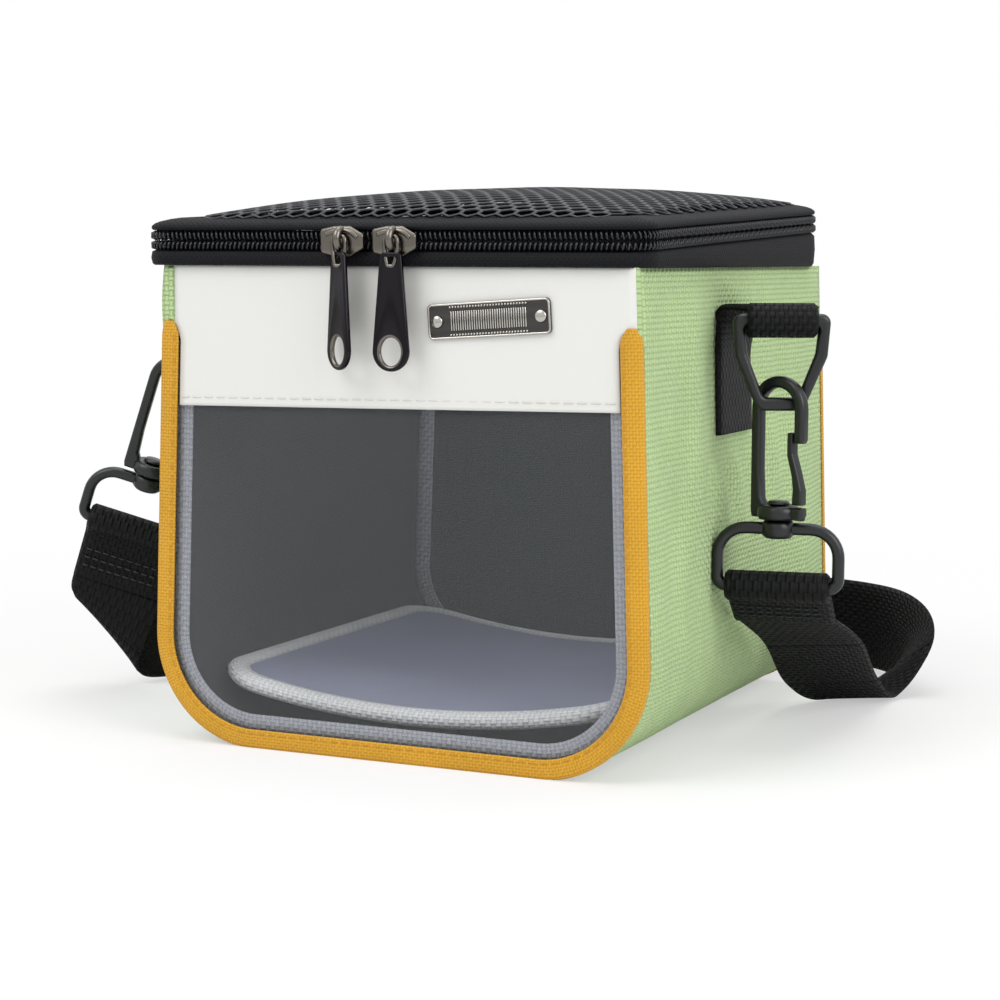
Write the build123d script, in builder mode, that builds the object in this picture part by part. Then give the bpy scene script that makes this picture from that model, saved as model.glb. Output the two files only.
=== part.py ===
from build123d import *
from math import cos, radians, sin
import os

# Small soft-sided pet carrier bag with a clear front window, a zipped mesh
# lid and a clip-on shoulder strap. Millimetres, +Z up, origin on the floor
# under the middle of the bag, front towards -Y.

# body
base_width = 132.0
side_lean = 0.034
body_height = 118.0
corner_radius = 27.0
gusset_front = -68.0
gusset_back = 67.0
canvas_thickness = 0.8
foam_thickness = 2.0
lining_thickness = 0.6
binding_width = 5.0
binding_thickness = 1.0
binding_top = 104.0
pane_thickness = 0.4
band_thickness = 1.0
band_bottom = 84.5
tape_width = 4.6
tape_thickness = 0.7
side_gap = 0.3

# collar, zip and lid
collar_width = 129.0
collar_depth = 142.0
collar_radius = 18.0
collar_wall = 2.4
zip_height = 126.9
zip_tilt = 2.5
zip_band = 2.3
zip_split = 0.15
coil_out = 0.6
coil_in = 1.0
tape_wall = 0.8
border_height = 4.0
rim_width = 9.0
rim_thickness = 0.8
mesh_thickness = 0.6
mesh_hole = 5.6
mesh_strand = 1.3
hinge_width = 92.0
hinge_thickness = 0.8

# sliders and pulls
slider_width = 10.4
slider_height = 6.2
slider_thickness = 1.4
slider_gap = 0.3
left_slider_x = -10.7
right_slider_x = 3.0
bridge_width = 3.2
bridge_reach = 2.6
bail_wire = 1.3
pull_length = 31.0
pull_width = 9.2
pull_neck = 6.6
pull_thickness = 1.3
pull_hole = 3.2
left_pull_turn = 52.0

# nameplate
plate_x = 25.9
plate_z = 106.1
plate_length = 31.0
plate_height = 8.3
plate_thickness = 0.7
plate_turn = 3.9
rivet_spacing = 26.4
rivet_radius = 1.5
rivet_height = 0.7

# mat
mat_length = 114.0
mat_depth = 120.0
mat_thickness = 3.0
mat_middle = 8.6
mat_end = 16.8
mat_trim = 3.0
mat_trim_thickness = 3.8
mat_corner = 14.0

# strap and clip hardware
strap_width = 25.0
strap_thickness = 1.4
tab_y = -7.5
tab_bottom = 77.0
tab_top = 103.5
ring_x = 81.0
ring_y = -23.7
ring_z = 105.5
ring_turn = 24.6
ring_half_width = 11.8
ring_bar = 3.2
ring_drop = 21.5
sleeve_gap = 0.5
sleeve_width = 15.6
hook_turn = -45.0
hook_half_width = 7.8
hook_bar = 2.8
hook_thickness = 3.0
hook_eye_drop = 21.0
hook_tip_drop = 29.0
spine_end = 44.2
collar_length = 3.2
collar_radius_hook = 5.0
pin_radius = 1.8
pin_clearance = 0.1
eye_turn = -14.6
eye_width = 32.0
eye_height = 17.0
eye_bar = 2.9
eye_gap = 0.3
eye_thickness = 3.2
end_length = 18.0
left_lean = 20.0
left_eye_turn = 50.0
floor_gap = 0.3
store_length = 96.0
store_pitch = 5.5
store_runs = 7
store_y = 78.0
store_x = -8.0

half_base = base_width / 2
inner_inset = canvas_thickness + foam_thickness + lining_thickness
front_face = gusset_front - pane_thickness
band_face = front_face - band_thickness
back_face = gusset_back + lining_thickness + foam_thickness + canvas_thickness

os.makedirs("parts", exist_ok=True)


def save(part, name):
    part.label = name
    export_step(part, f"parts/{name}.step")


def half_width(height):
    return half_base - side_lean * height


def outline(inset, top):
    # front view of the body: rounded bottom corners, sides leaning in
    with BuildSketch(Plane.XY, mode=Mode.PRIVATE) as face:
        Polygon(
            (inset - half_width(inset), inset),
            (half_width(inset) - inset, inset),
            (half_width(top) - inset, top),
            (inset - half_width(top), top),
            align=None,
        )
        fillet(face.vertices().group_by(Axis.Y)[0], corner_radius - inset)
    return face.sketch


def u_layer(outer, inner, y_front, y_back, top):
    # a U-shaped wall that wraps side, bottom and side
    with BuildPart(mode=Mode.PRIVATE) as layer:
        with BuildSketch(Plane.XZ.offset(-y_back)):
            add(outline(outer, top))
            add(outline(inner, top + 1), mode=Mode.SUBTRACT)
        extrude(amount=y_back - y_front)
    return layer.part


def slab(inset, bottom, top, y_front, y_back):
    # a flat panel in the body's outline between two heights
    with BuildPart(mode=Mode.PRIVATE) as panel:
        with BuildSketch(Plane.XZ.offset(-y_back)):
            add(outline(inset, top))
            with Locations((0, bottom - body_height)):
                Rectangle(3 * base_width, 2 * body_height, mode=Mode.SUBTRACT)
        extrude(amount=y_back - y_front)
    return panel.part


# body walls, from the outside in
with BuildPart() as gusset_outer:
    add(u_layer(0, canvas_thickness, gusset_front, gusset_back, body_height))
save(gusset_outer.part, "gusset_outer")

foam_inner = canvas_thickness + foam_thickness
with BuildPart() as gusset_foam:
    add(u_layer(canvas_thickness, foam_inner, gusset_front, gusset_back, body_height))
save(gusset_foam.part, "gusset_foam")

with BuildPart() as gusset_lining:
    add(u_layer(foam_inner, inner_inset, gusset_front, gusset_back, body_height))
save(gusset_lining.part, "gusset_lining")

# back wall in three layers
back_steps = [
    ("back_lining", lining_thickness),
    ("back_foam", foam_thickness),
    ("back_panel", canvas_thickness),
]
back_y = gusset_back
for back_name, back_thickness in back_steps:
    with BuildPart() as back_layer:
        with BuildSketch(Plane.XZ.offset(-back_y - back_thickness)):
            add(outline(0, body_height))
        extrude(amount=back_thickness)
    save(back_layer.part, back_name)
    back_y += back_thickness

# clear pane across the whole front, with the band sewn over its top
with BuildPart() as window_pane:
    with BuildSketch(Plane.XZ.offset(-gusset_front)):
        add(outline(0, body_height))
    extrude(amount=pane_thickness)
save(window_pane.part, "window_pane")

with BuildPart() as front_band:
    add(slab(binding_width, band_bottom, body_height, band_face, front_face))
    add(slab(0, binding_top, body_height, band_face, front_face))
save(front_band.part, "front_band")

# binding tape round the front and back seams
with BuildPart() as front_binding:
    add(u_layer(0, binding_width, front_face - binding_thickness, front_face, binding_top))
save(front_binding.part, "front_binding")

with BuildPart() as back_binding:
    add(u_layer(0, binding_width, back_face, back_face + binding_thickness, binding_top))
save(back_binding.part, "back_binding")

# grey tape over the inside of both seams
tape_top = body_height - 2
with BuildPart() as inner_front_tape:
    add(u_layer(inner_inset, inner_inset + tape_width, gusset_front, gusset_front + tape_thickness, tape_top))
save(inner_front_tape.part, "inner_front_tape")

with BuildPart() as inner_back_tape:
    add(u_layer(inner_inset, inner_inset + tape_width, gusset_back - tape_thickness, gusset_back, tape_top))
save(inner_back_tape.part, "inner_back_tape")


# the zip runs in a plane that rises a little towards the back
lean = radians(zip_tilt)


def zip_plane(level):
    up = Vector(0, -sin(lean), cos(lean))
    return Plane(origin=Vector(0, 0, zip_height) + up * level, x_dir=(1, 0, 0), z_dir=up)


def zip_ring(outer, inner, low, high):
    # a band that follows the collar's outline, set out or in from it
    with BuildPart(mode=Mode.PRIVATE) as ring:
        with BuildSketch(zip_plane(low)):
            RectangleRounded(collar_width + 2 * outer, collar_depth + 2 * outer, collar_radius + outer)
            RectangleRounded(
                collar_width + 2 * inner, collar_depth + 2 * inner, collar_radius + inner, mode=Mode.SUBTRACT
            )
        extrude(amount=high - low)
    return ring.part


def front_and_sides(low, high):
    # everything in front of the rear hinge cloth
    with BuildPart(mode=Mode.PRIVATE) as zone:
        with BuildSketch(zip_plane(low)):
            with Locations((0, -collar_radius)):
                Rectangle(2 * collar_width, collar_depth + collar_radius)
        extrude(amount=high - low)
    return zone.part


with BuildPart() as collar_band:
    with BuildSketch(Plane.XY.offset(body_height)):
        RectangleRounded(collar_width, collar_depth, collar_radius)
        inner_wide = collar_width - 2 * collar_wall
        inner_deep = collar_depth - 2 * collar_wall
        RectangleRounded(inner_wide, inner_deep, collar_radius - collar_wall, mode=Mode.SUBTRACT)
    extrude(amount=4 * collar_wall + body_height * side_lean)
    split(bisect_by=zip_plane(-zip_band), keep=Keep.BOTTOM)
save(collar_band.part, "collar_band")

# soft inner hem that joins the collar to the top edges of the body walls
with BuildPart() as collar_hem:
    with BuildSketch(Plane.XY.offset(body_height)):
        RectangleRounded(inner_wide, inner_deep, collar_radius - collar_wall)
        hem_wide = 2 * (half_width(body_height) - inner_inset)
        hem_deep = gusset_back - gusset_front
        Rectangle(hem_wide, hem_deep, mode=Mode.SUBTRACT)
    extrude(amount=lining_thickness)
save(collar_hem.part, "collar_hem")

for zone_name, low, high in [("lower", -zip_band, -zip_split), ("upper", zip_split, zip_band)]:
    with BuildPart() as zip_tape:
        add(zip_ring(-coil_in, -coil_in - tape_wall, low, high))
        add(front_and_sides(low, high), mode=Mode.INTERSECT)
    save(zip_tape.part, f"zip_tape_{zone_name}")
    with BuildPart() as zip_coil:
        add(zip_ring(coil_out, -coil_in, low, high))
        add(front_and_sides(low, high), mode=Mode.INTERSECT)
    save(zip_coil.part, f"zip_coil_{zone_name}")

# hinge cloth at the back, as a lower and an upper leaf
for leaf_name, low, high in [("hinge_leaf_lower", -zip_band, -zip_split), ("hinge_leaf_upper", zip_split, zip_band)]:
    with BuildPart() as hinge_leaf:
        with BuildSketch(zip_plane(low)):
            with Locations((0, collar_depth / 2 - hinge_thickness / 2)):
                Rectangle(hinge_width, hinge_thickness)
        extrude(amount=high - low)
    save(hinge_leaf.part, leaf_name)

border_top = zip_band + border_height
with BuildPart() as lid_border:
    add(zip_ring(0, -collar_wall, zip_band, border_top))
    add(zip_ring(-collar_wall, -collar_wall - rim_width, border_top - rim_thickness, border_top))
save(lid_border.part, "lid_border")

mesh_pitch = mesh_hole + mesh_strand
mesh_wide = collar_width - 2 * collar_wall
mesh_deep = collar_depth - 2 * collar_wall
mesh_columns = int((mesh_wide - 2 * rim_width) / mesh_pitch)
mesh_rows = int((mesh_deep - 2 * rim_width) / (mesh_pitch * 0.866))
with BuildPart() as lid_mesh:
    with BuildSketch(zip_plane(border_top - rim_thickness - mesh_thickness)):
        RectangleRounded(mesh_wide, mesh_deep, collar_radius - collar_wall)
        for row in range(mesh_rows):
            shift = mesh_pitch / 4 if row % 2 else -mesh_pitch / 4
            row_y = (row - (mesh_rows - 1) / 2) * mesh_pitch * 0.866
            with Locations((shift, row_y)):
                with GridLocations(mesh_pitch, mesh_pitch, mesh_columns, 1):
                    RegularPolygon(mesh_hole / 2, 6, major_radius=False, rotation=30, mode=Mode.SUBTRACT)
    extrude(amount=mesh_thickness)
save(lid_mesh.part, "lid_mesh")
print("gaps in the net", mesh_rows * mesh_columns)

# sliders ride in front of the coil, each with a bridge that carries its pull
coil_front = collar_depth / 2 + coil_out
plate_back = coil_front + slider_gap
bridge_z = slider_height / 2 - 0.9


def slider(x):
    with BuildPart(mode=Mode.PRIVATE) as body:
        with BuildSketch(zip_plane(-slider_height / 2)):
            with Locations((x, -plate_back - slider_thickness / 2)):
                Rectangle(slider_width, slider_thickness)
        extrude(amount=slider_height)
        fillet(body.edges().filter_by(Axis.Y, tolerance=10), 1.4)
        with BuildSketch(zip_plane(-slider_height / 2 + 0.6)):
            with Locations((x, -plate_back - slider_thickness - bridge_reach / 2)):
                Rectangle(bridge_width, bridge_reach)
        extrude(amount=slider_height - 1.2)
        with BuildSketch(Plane.YZ.offset(x - bridge_width)):
            with Locations((bridge_point.Y, bridge_point.Z)):
                Circle(bail_wire / 2 + 0.35)
        extrude(amount=2 * bridge_width, mode=Mode.SUBTRACT)
    return body.part


bridge_point = zip_plane(0).from_local_coords(
    Vector(0, -plate_back - slider_thickness - bridge_reach / 2, bridge_z - 1.4)
)


def pull(x, turn):
    # flat teardrop pull on a wire bail; the wire passes through the bridge
    hub = Vector(x, bridge_point.Y, bridge_point.Z)
    drop = 5.2
    with BuildPart(mode=Mode.PRIVATE) as tag:
        with BuildSketch(Plane.YZ.offset(x - pull_neck / 2)):
            with Locations((hub.Y, hub.Z)):
                Circle(bail_wire / 2)
        extrude(amount=pull_neck)
        with BuildSketch(Plane.XZ.offset(-hub.Y - bail_wire / 2)):
            for side in (-1, 1):
                with Locations((x + side * (pull_neck / 2 - bail_wire / 2), hub.Z - drop / 2)):
                    Rectangle(bail_wire, drop + bail_wire)
            with Locations((x, hub.Z - drop)):
                Rectangle(pull_neck, bail_wire)
        extrude(amount=bail_wire)
        turned = Plane(
            origin=hub - Vector(0, 0, drop),
            x_dir=(cos(radians(turn)), sin(radians(turn)), 0),
            z_dir=(sin(radians(turn)), -cos(radians(turn)), 0),
        )
        with BuildSketch(turned.offset(-pull_thickness / 2)):
            Polygon(
                (-pull_neck / 2, 1),
                (pull_neck / 2, 1),
                (pull_width / 2, drop - pull_length + pull_width / 2),
                (-pull_width / 2, drop - pull_length + pull_width / 2),
                align=None,
            )
            with Locations((0, drop - pull_length + pull_width / 2)):
                Circle(pull_width / 2)
                Circle(pull_hole, mode=Mode.SUBTRACT)
        extrude(amount=pull_thickness)
    return tag.part


for side_name, slider_x, turn in [("left", left_slider_x, left_pull_turn), ("right", right_slider_x, 0.0)]:
    with BuildPart() as zip_slider:
        add(slider(slider_x))
    save(zip_slider.part, f"slider_{side_name}")
    with BuildPart() as zip_pull:
        add(pull(slider_x, turn))
    save(zip_pull.part, f"pull_{side_name}")

# bare metal nameplate on the band, with a rivet at each end
plate_angle = radians(plate_turn)
plate_plane = Plane(
    origin=(plate_x, band_face, plate_z),
    x_dir=(cos(plate_angle), 0, sin(plate_angle)),
    z_dir=(0, -1, 0),
)
with BuildPart() as nameplate:
    with BuildSketch(plate_plane):
        RectangleRounded(plate_length, plate_height, 0.8)
    extrude(amount=plate_thickness)
save(nameplate.part, "nameplate")

with BuildPart() as nameplate_rivets:
    with BuildSketch(plate_plane.offset(plate_thickness)):
        with GridLocations(rivet_spacing, 1, 2, 1):
            Circle(rivet_radius)
    extrude(amount=rivet_height)
save(nameplate_rivets.part, "nameplate_rivets")


# the mat's stiff sheet bows up at both sides, where it rests on the lining
def mat_sheet(length, depth, thickness):
    with BuildPart(mode=Mode.PRIVATE) as sheet:
        with BuildSketch(Plane.XZ.offset(-depth / 2 - mat_trim)):
            with BuildLine():
                half = thickness / 2
                span = mat_length / 2 + mat_trim
                ThreePointArc((-span, mat_end - half), (0, mat_middle - half), (span, mat_end - half))
                Line((span, mat_end - half), (span, mat_end + half))
                ThreePointArc((span, mat_end + half), (0, mat_middle + half), (-span, mat_end + half))
                Line((-span, mat_end + half), (-span, mat_end - half))
            make_face()
        extrude(amount=depth + 2 * mat_trim)
        with BuildSketch(Plane.XY.offset(-mat_end)):
            trim = (mat_length - length) / 2
            RectangleRounded(length, depth, mat_corner - trim)
        extrude(amount=4 * mat_end, mode=Mode.INTERSECT)
    return sheet.part


with BuildPart() as mat_pad:
    add(mat_sheet(mat_length - 2 * mat_trim, mat_depth - 2 * mat_trim, mat_thickness))
save(mat_pad.part, "mat_pad")

with BuildPart() as mat_binding:
    add(mat_sheet(mat_length, mat_depth, mat_trim_thickness))
    with BuildSketch(Plane.XY.offset(-mat_end)):
        RectangleRounded(mat_length - 2 * mat_trim, mat_depth - 2 * mat_trim, mat_corner - mat_trim)
    extrude(amount=4 * mat_end, mode=Mode.SUBTRACT)
save(mat_binding.part, "mat_binding")


# clip hardware: a ring on a sewn loop, a snap hook, and a swivel eye
def turned_about(plane, angle):
    turn = radians(angle)
    across = plane.x_dir * cos(turn) - plane.z_dir * sin(turn)
    facing = plane.z_dir * cos(turn) + plane.x_dir * sin(turn)
    return Plane(origin=plane.origin, x_dir=across, z_dir=facing)


hook_base = spine_end + collar_length
eye_top = hook_base + eye_gap
eye_middle = eye_top + eye_height / 2 + 0.6
bar_drop = eye_middle + eye_height / 2 - eye_bar / 2

right_turn = radians(ring_turn)
right_clip = Plane(
    origin=(ring_x, ring_y, ring_z),
    x_dir=(cos(right_turn), sin(right_turn), 0),
    z_dir=(sin(right_turn), -cos(right_turn), 0),
)
left_tilt = radians(left_lean)
left_clip = Plane(
    origin=(-ring_x, ring_y, ring_z),
    x_dir=(cos(right_turn) * cos(left_tilt), -sin(right_turn), -cos(right_turn) * sin(left_tilt)),
    z_dir=(-sin(right_turn) * cos(left_tilt), -cos(right_turn), sin(right_turn) * sin(left_tilt)),
)


def d_ring(plane):
    half = ring_half_width
    inner = half - ring_bar + 0.2
    with BuildPart(mode=Mode.PRIVATE) as ring:
        with BuildSketch(plane.offset(-ring_bar / 2)) as shape:
            Polygon(
                (-half, ring_bar / 2),
                (half, ring_bar / 2),
                (half - 0.8, -0.4 * ring_drop),
                (0.46 * half, -ring_drop),
                (-0.46 * half, -ring_drop),
                (0.8 - half, -0.4 * ring_drop),
                align=None,
            )
            fillet(shape.vertices(), 1.6)
            Polygon(
                (-inner, -ring_bar / 2),
                (inner, -ring_bar / 2),
                (inner - 0.7, -0.37 * ring_drop),
                (0.36 * half, ring_bar - ring_drop),
                (-0.36 * half, ring_bar - ring_drop),
                (0.7 - inner, -0.37 * ring_drop),
                align=None,
                mode=Mode.SUBTRACT,
            )
        extrude(amount=ring_bar)
    return ring.part


def loop(plane, side):
    # webbing sleeve round the ring's bar, on a strip sewn to the side panel
    bore = ring_bar * 0.72 + sleeve_gap
    skin = bore + strap_thickness
    across = Plane(
        origin=plane.origin - plane.x_dir * (sleeve_width / 2), x_dir=plane.z_dir, z_dir=plane.x_dir
    )
    side_x = half_width((tab_bottom + tab_top) / 2)
    face = Plane(
        origin=(side * side_x, tab_y, (tab_bottom + tab_top) / 2),
        x_dir=(0, side, 0),
        z_dir=(side * cos(side_lean), 0, sin(side_lean)),
    )
    tab_edge = face.from_local_coords(Vector(0, (tab_top - tab_bottom) / 2, strap_thickness / 2))
    sleeve_top = plane.origin + plane.y_dir * (bore + strap_thickness / 3)
    reach = sleeve_top - tab_edge
    neck_start = Plane(origin=tab_edge, x_dir=(0, 1, 0), z_dir=(side, 0, side_lean))
    neck_end = Plane(origin=sleeve_top, x_dir=(-reach.Y, reach.X, 0), z_dir=(reach.X, reach.Y, 0))
    with BuildPart(mode=Mode.PRIVATE) as web:
        with BuildSketch(face.offset(0.02)):
            Rectangle(strap_width, tab_top - tab_bottom)
        extrude(amount=strap_thickness)
        with BuildSketch(neck_start):
            Rectangle(strap_width / 2, 2 * strap_thickness)
        with BuildSketch(neck_end):
            Rectangle(strap_width * 0.4, 2 * strap_thickness)
        loft(ruled=True)
        with BuildSketch(across):
            Circle(skin)
        extrude(amount=sleeve_width)
        with BuildSketch(across.offset(-side_gap)):
            Circle(bore)
        extrude(amount=sleeve_width + 2 * side_gap, mode=Mode.SUBTRACT)
    return web.part


def hook(plane):
    half = hook_half_width
    with BuildPart(mode=Mode.PRIVATE) as body:
        with BuildSketch(plane.offset(-hook_thickness / 2)):
            with Locations((0, -hook_eye_drop)):
                Circle(half)
                Circle(half - hook_bar, mode=Mode.SUBTRACT)
                with Locations((0, -half)):
                    Rectangle(3 * half, 2 * half, mode=Mode.SUBTRACT)
            with Locations((hook_bar / 2 - half, -(hook_eye_drop + spine_end) / 2)):
                Rectangle(hook_bar, spine_end - hook_eye_drop)
            with Locations((half - hook_bar / 2, -(hook_eye_drop + hook_tip_drop) / 2)):
                Rectangle(hook_bar, hook_tip_drop - hook_eye_drop)
        extrude(amount=hook_thickness)
        axis_plane = Plane(
            origin=plane.from_local_coords(Vector(0, -hook_base, 0)), x_dir=plane.x_dir, z_dir=plane.y_dir
        )
        with BuildSketch(axis_plane):
            Circle(collar_radius_hook)
            Rectangle(2 * half, hook_thickness)
        extrude(amount=collar_length)
        with BuildSketch(axis_plane):
            Circle(pin_radius + pin_clearance)
        extrude(amount=collar_length, mode=Mode.SUBTRACT)
    return body.part


gate_pivot = Vector(hook_half_width - 1.8, 0.4 - spine_end, 0)
gate_top = hook_tip_drop - 2.5


def gate(plane):
    half = hook_half_width
    inside = half - hook_bar - side_gap
    low = spine_end - side_gap - 0.2
    with BuildPart(mode=Mode.PRIVATE) as blade:
        with BuildSketch(plane.offset(-hook_thickness / 2 + 0.2)):
            Polygon(
                (inside, -low),
                (half - 0.4, -low),
                (half - 0.4, 3.6 - low),
                (inside, -hook_tip_drop - 3),
                (inside, -gate_top),
                (inside - 1.6, -gate_top),
                (inside - 1.6, -hook_tip_drop - 3),
                (inside, 3.6 - low),
                align=None,
            )
        extrude(amount=hook_thickness - 0.4)
    return blade.part


def eye_outline(wide, high, low_radius):
    # rounded over the top, nearly square where the webbing lies on the bar
    with BuildSketch(Plane.XY, mode=Mode.PRIVATE) as face:
        with Locations((0, -eye_middle)):
            Rectangle(wide, high)
        fillet(face.vertices().group_by(Axis.Y)[0], low_radius)
        fillet(face.vertices().group_by(Axis.Y)[-1], high * 0.45)
    return face.sketch


def eye(plane):
    with BuildPart(mode=Mode.PRIVATE) as ring:
        with BuildSketch(plane.offset(-eye_thickness / 2)):
            add(eye_outline(eye_width, eye_height, 3.2))
            hole_wide = eye_width - 2 * eye_bar
            add(eye_outline(hole_wide, eye_height - 2 * eye_bar, 0.4), mode=Mode.SUBTRACT)
        extrude(amount=eye_thickness)
        post = Plane(
            origin=plane.from_local_coords(Vector(0, -eye_top - 1.6, 0)), x_dir=plane.x_dir, z_dir=plane.y_dir
        )
        with BuildSketch(post):
            Circle(3.6)
        extrude(amount=1.6)
        with BuildSketch(post):
            Circle(pin_radius)
        extrude(amount=1.6 + eye_gap + collar_length + side_gap)
        with BuildSketch(post.offset(1.6 + eye_gap + collar_length + side_gap)):
            Circle(pin_radius + 0.9)
        extrude(amount=1.0)
    return ring.part


def strap_end(plane, run):
    # the sewn end of the strap: a loop round the eye's bar and a doubled tail
    middle = plane.from_local_coords(Vector(0, -bar_drop, 0))
    along = (run - plane.x_dir * run.dot(plane.x_dir)).normalized()
    bore = eye_bar * 0.78 + side_gap
    section = Plane(origin=middle - plane.x_dir * (strap_width / 2), x_dir=along, z_dir=plane.x_dir)
    with BuildPart(mode=Mode.PRIVATE) as tail:
        with BuildSketch(section):
            Circle(bore + strap_thickness)
            with Locations((end_length / 2, 0)):
                Rectangle(end_length, 2 * strap_thickness)
            Circle(bore, mode=Mode.SUBTRACT)
        extrude(amount=strap_width)
    return tail.part


def band(stations, across, lead, trail):
    # a strap stretch: flat sections joined one after the other
    points = [Vector(*station) for station in stations]
    headings = [lead]
    for before, after in zip(points, points[2:]):
        headings.append((after - before).normalized())
    headings.append(trail)
    with BuildPart(mode=Mode.PRIVATE) as web:
        for point, wide, along in zip(points, across, headings):
            wide = Vector(*wide)
            onward = (along - wide * (along.dot(wide) / wide.dot(wide))).normalized()
            with BuildSketch(Plane(origin=point, x_dir=wide, z_dir=onward)):
                Rectangle(strap_width, strap_thickness)
        loft(ruled=True)
    return web.part


def bend(outward):
    # half ring that joins two neighbouring runs
    with BuildSketch(Plane.XY, mode=Mode.PRIVATE) as half_ring:
        Circle(store_pitch / 2 + strap_thickness / 2)
        Circle(store_pitch / 2 - strap_thickness / 2, mode=Mode.SUBTRACT)
        with Locations((-outward * store_pitch, 0)):
            Rectangle(2 * store_pitch, 4 * store_pitch, mode=Mode.SUBTRACT)
    return half_ring.sketch


# the run of the strap away from each eye, as centre points and the way its width lies
right_run = Vector(0, 0.84, -0.54)
tails = {}
left_run = Vector(-0.45, 0.1, -0.9)
right_eye = turned_about(right_clip, eye_turn)
left_eye = turned_about(left_clip, left_eye_turn)

for side_name, clip, swivel, run, side, turn in [
    ("right", right_clip, right_eye, right_run, 1, hook_turn),
    ("left", left_clip, left_eye, left_run, -1, -hook_turn),
]:
    hook_plane = turned_about(clip, turn)
    with BuildPart() as clip_loop:
        add(loop(clip, side))
    save(clip_loop.part, f"loop_{side_name}")
    with BuildPart() as clip_ring:
        add(d_ring(clip))
    save(clip_ring.part, f"d_ring_{side_name}")
    with BuildPart() as clip_hook:
        add(hook(hook_plane))
    save(clip_hook.part, f"hook_{side_name}")
    with BuildPart() as clip_gate:
        add(gate(hook_plane))
    save(clip_gate.part, f"gate_{side_name}")
    with BuildPart() as clip_eye:
        add(eye(swivel))
    save(clip_eye.part, f"eye_{side_name}")
    with BuildPart() as clip_end:
        add(strap_end(swivel, run))
    save(clip_end.part, f"strap_end_{side_name}")
    bar = swivel.from_local_coords(Vector(0, -bar_drop, 0))
    tail_dir = (run - swivel.x_dir * run.dot(swivel.x_dir)).normalized()
    tail_tip = bar + tail_dir * end_length
    tails[side_name] = (tail_tip, swivel.x_dir, tail_dir)
    pivot = hook_plane.from_local_coords(gate_pivot)
    print(side_name, "eye bar", bar, "tail", tail_tip, "gate pivot", pivot, "gate axis", hook_plane.z_dir)
    print(side_name, "ring axis", clip.x_dir, "clip up", clip.y_dir, "hook", hook_plane.x_dir, "eye", swivel.x_dir)

# the rest of the strap: a free stretch on each side, and the length put away
# behind the bag, standing on edge in runs that lie against each other
on_edge = strap_width / 2 + floor_gap
lying = strap_thickness / 2 + floor_gap
up = (0, 0, 1)
down = (0, 0, -1)
first_x = store_x - store_length / 2
last_x = store_x + store_length / 2
last_y = store_y + (store_runs - 1) * store_pitch

right_tip, right_wide, right_dir = tails["right"]
left_tip, left_wide, left_dir = tails["left"]
right_points = [
    tuple(right_tip),
    (79.5, 12.0, 22.5),
    (77.5, 36.0, 8.5),
    (80.0, 52.0, lying + 0.6),
    (88.5, 66.0, 8.7),
    (85.0, 84.0, on_edge),
    (68.0, 103.0, on_edge),
    (last_x, last_y, on_edge),
]
right_across = [
    tuple(right_wide),
    (0.97, 0.24, 0.05),
    (0.93, 0.36, 0.05),
    (0.83, 0.55, 0.02),
    (0.66, 0.3, 0.66),
    (0.1, 0.05, 0.99),
    up,
    up,
]
left_points = [
    tuple(left_tip),
    (-113.6, -20.6, 20.5),
    (-114.8, -18.2, 15.5),
    (-112.5, -13.0, 13.6),
    (-107.0, -4.0, on_edge + 0.4),
    (-99.0, 16.0, on_edge),
    (-90.0, 39.0, on_edge),
    (-82.0, 60.0, on_edge),
    (-71.0, 74.0, on_edge),
    (first_x, store_y, on_edge),
]
left_across = [
    tuple(left_wide),
    (0.68, 0.42, -0.6),
    (0.5, 0.36, -0.79),
    (0.28, 0.22, -0.93),
    (0.1, 0.1, -0.99),
    down,
    down,
    down,
    down,
    down,
]
with BuildPart() as strap_right:
    add(band(right_points, right_across, right_dir, Vector(-1, 0, 0)))
save(strap_right.part, "strap_right")
with BuildPart() as strap_left:
    add(band(left_points, left_across, left_dir, Vector(1, 0, 0)))
save(strap_left.part, "strap_left")

with BuildPart() as strap_store:
    with BuildSketch(Plane.XY.offset(floor_gap)):
        for run_index in range(store_runs):
            run_y = store_y + run_index * store_pitch
            with Locations((store_x, run_y)):
                Rectangle(store_length, strap_thickness)
            if run_index < store_runs - 1:
                turn_x = last_x if run_index % 2 == 0 else first_x
                outward = 1 if run_index % 2 == 0 else -1
                with Locations((turn_x, run_y + store_pitch / 2)):
                    add(bend(outward))
    extrude(amount=strap_width)
save(strap_store.part, "strap_store")
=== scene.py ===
import bpy
import bmesh
from math import atan2, cos, exp, hypot, pi, radians, sin, sqrt, tan
from mathutils import Vector, Matrix, noise


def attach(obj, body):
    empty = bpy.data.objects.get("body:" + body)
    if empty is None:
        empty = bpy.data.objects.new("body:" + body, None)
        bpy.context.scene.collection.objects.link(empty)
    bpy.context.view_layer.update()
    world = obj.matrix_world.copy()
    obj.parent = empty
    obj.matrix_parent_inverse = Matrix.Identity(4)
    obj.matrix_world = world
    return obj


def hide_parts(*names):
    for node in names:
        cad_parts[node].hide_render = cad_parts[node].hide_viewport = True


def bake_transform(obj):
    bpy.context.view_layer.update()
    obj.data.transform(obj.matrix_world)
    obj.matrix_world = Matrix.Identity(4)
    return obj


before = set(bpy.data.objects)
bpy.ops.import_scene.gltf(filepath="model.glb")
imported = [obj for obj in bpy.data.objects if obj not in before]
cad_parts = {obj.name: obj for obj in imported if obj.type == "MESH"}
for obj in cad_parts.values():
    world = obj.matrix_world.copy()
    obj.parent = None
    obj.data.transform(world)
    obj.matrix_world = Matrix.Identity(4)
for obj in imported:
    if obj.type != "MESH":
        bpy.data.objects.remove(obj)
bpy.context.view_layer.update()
scene = bpy.context.scene

# small tools: all lengths are millimetres here, and mm turns them to metres where a mesh is made

mm = 0.001


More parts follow.
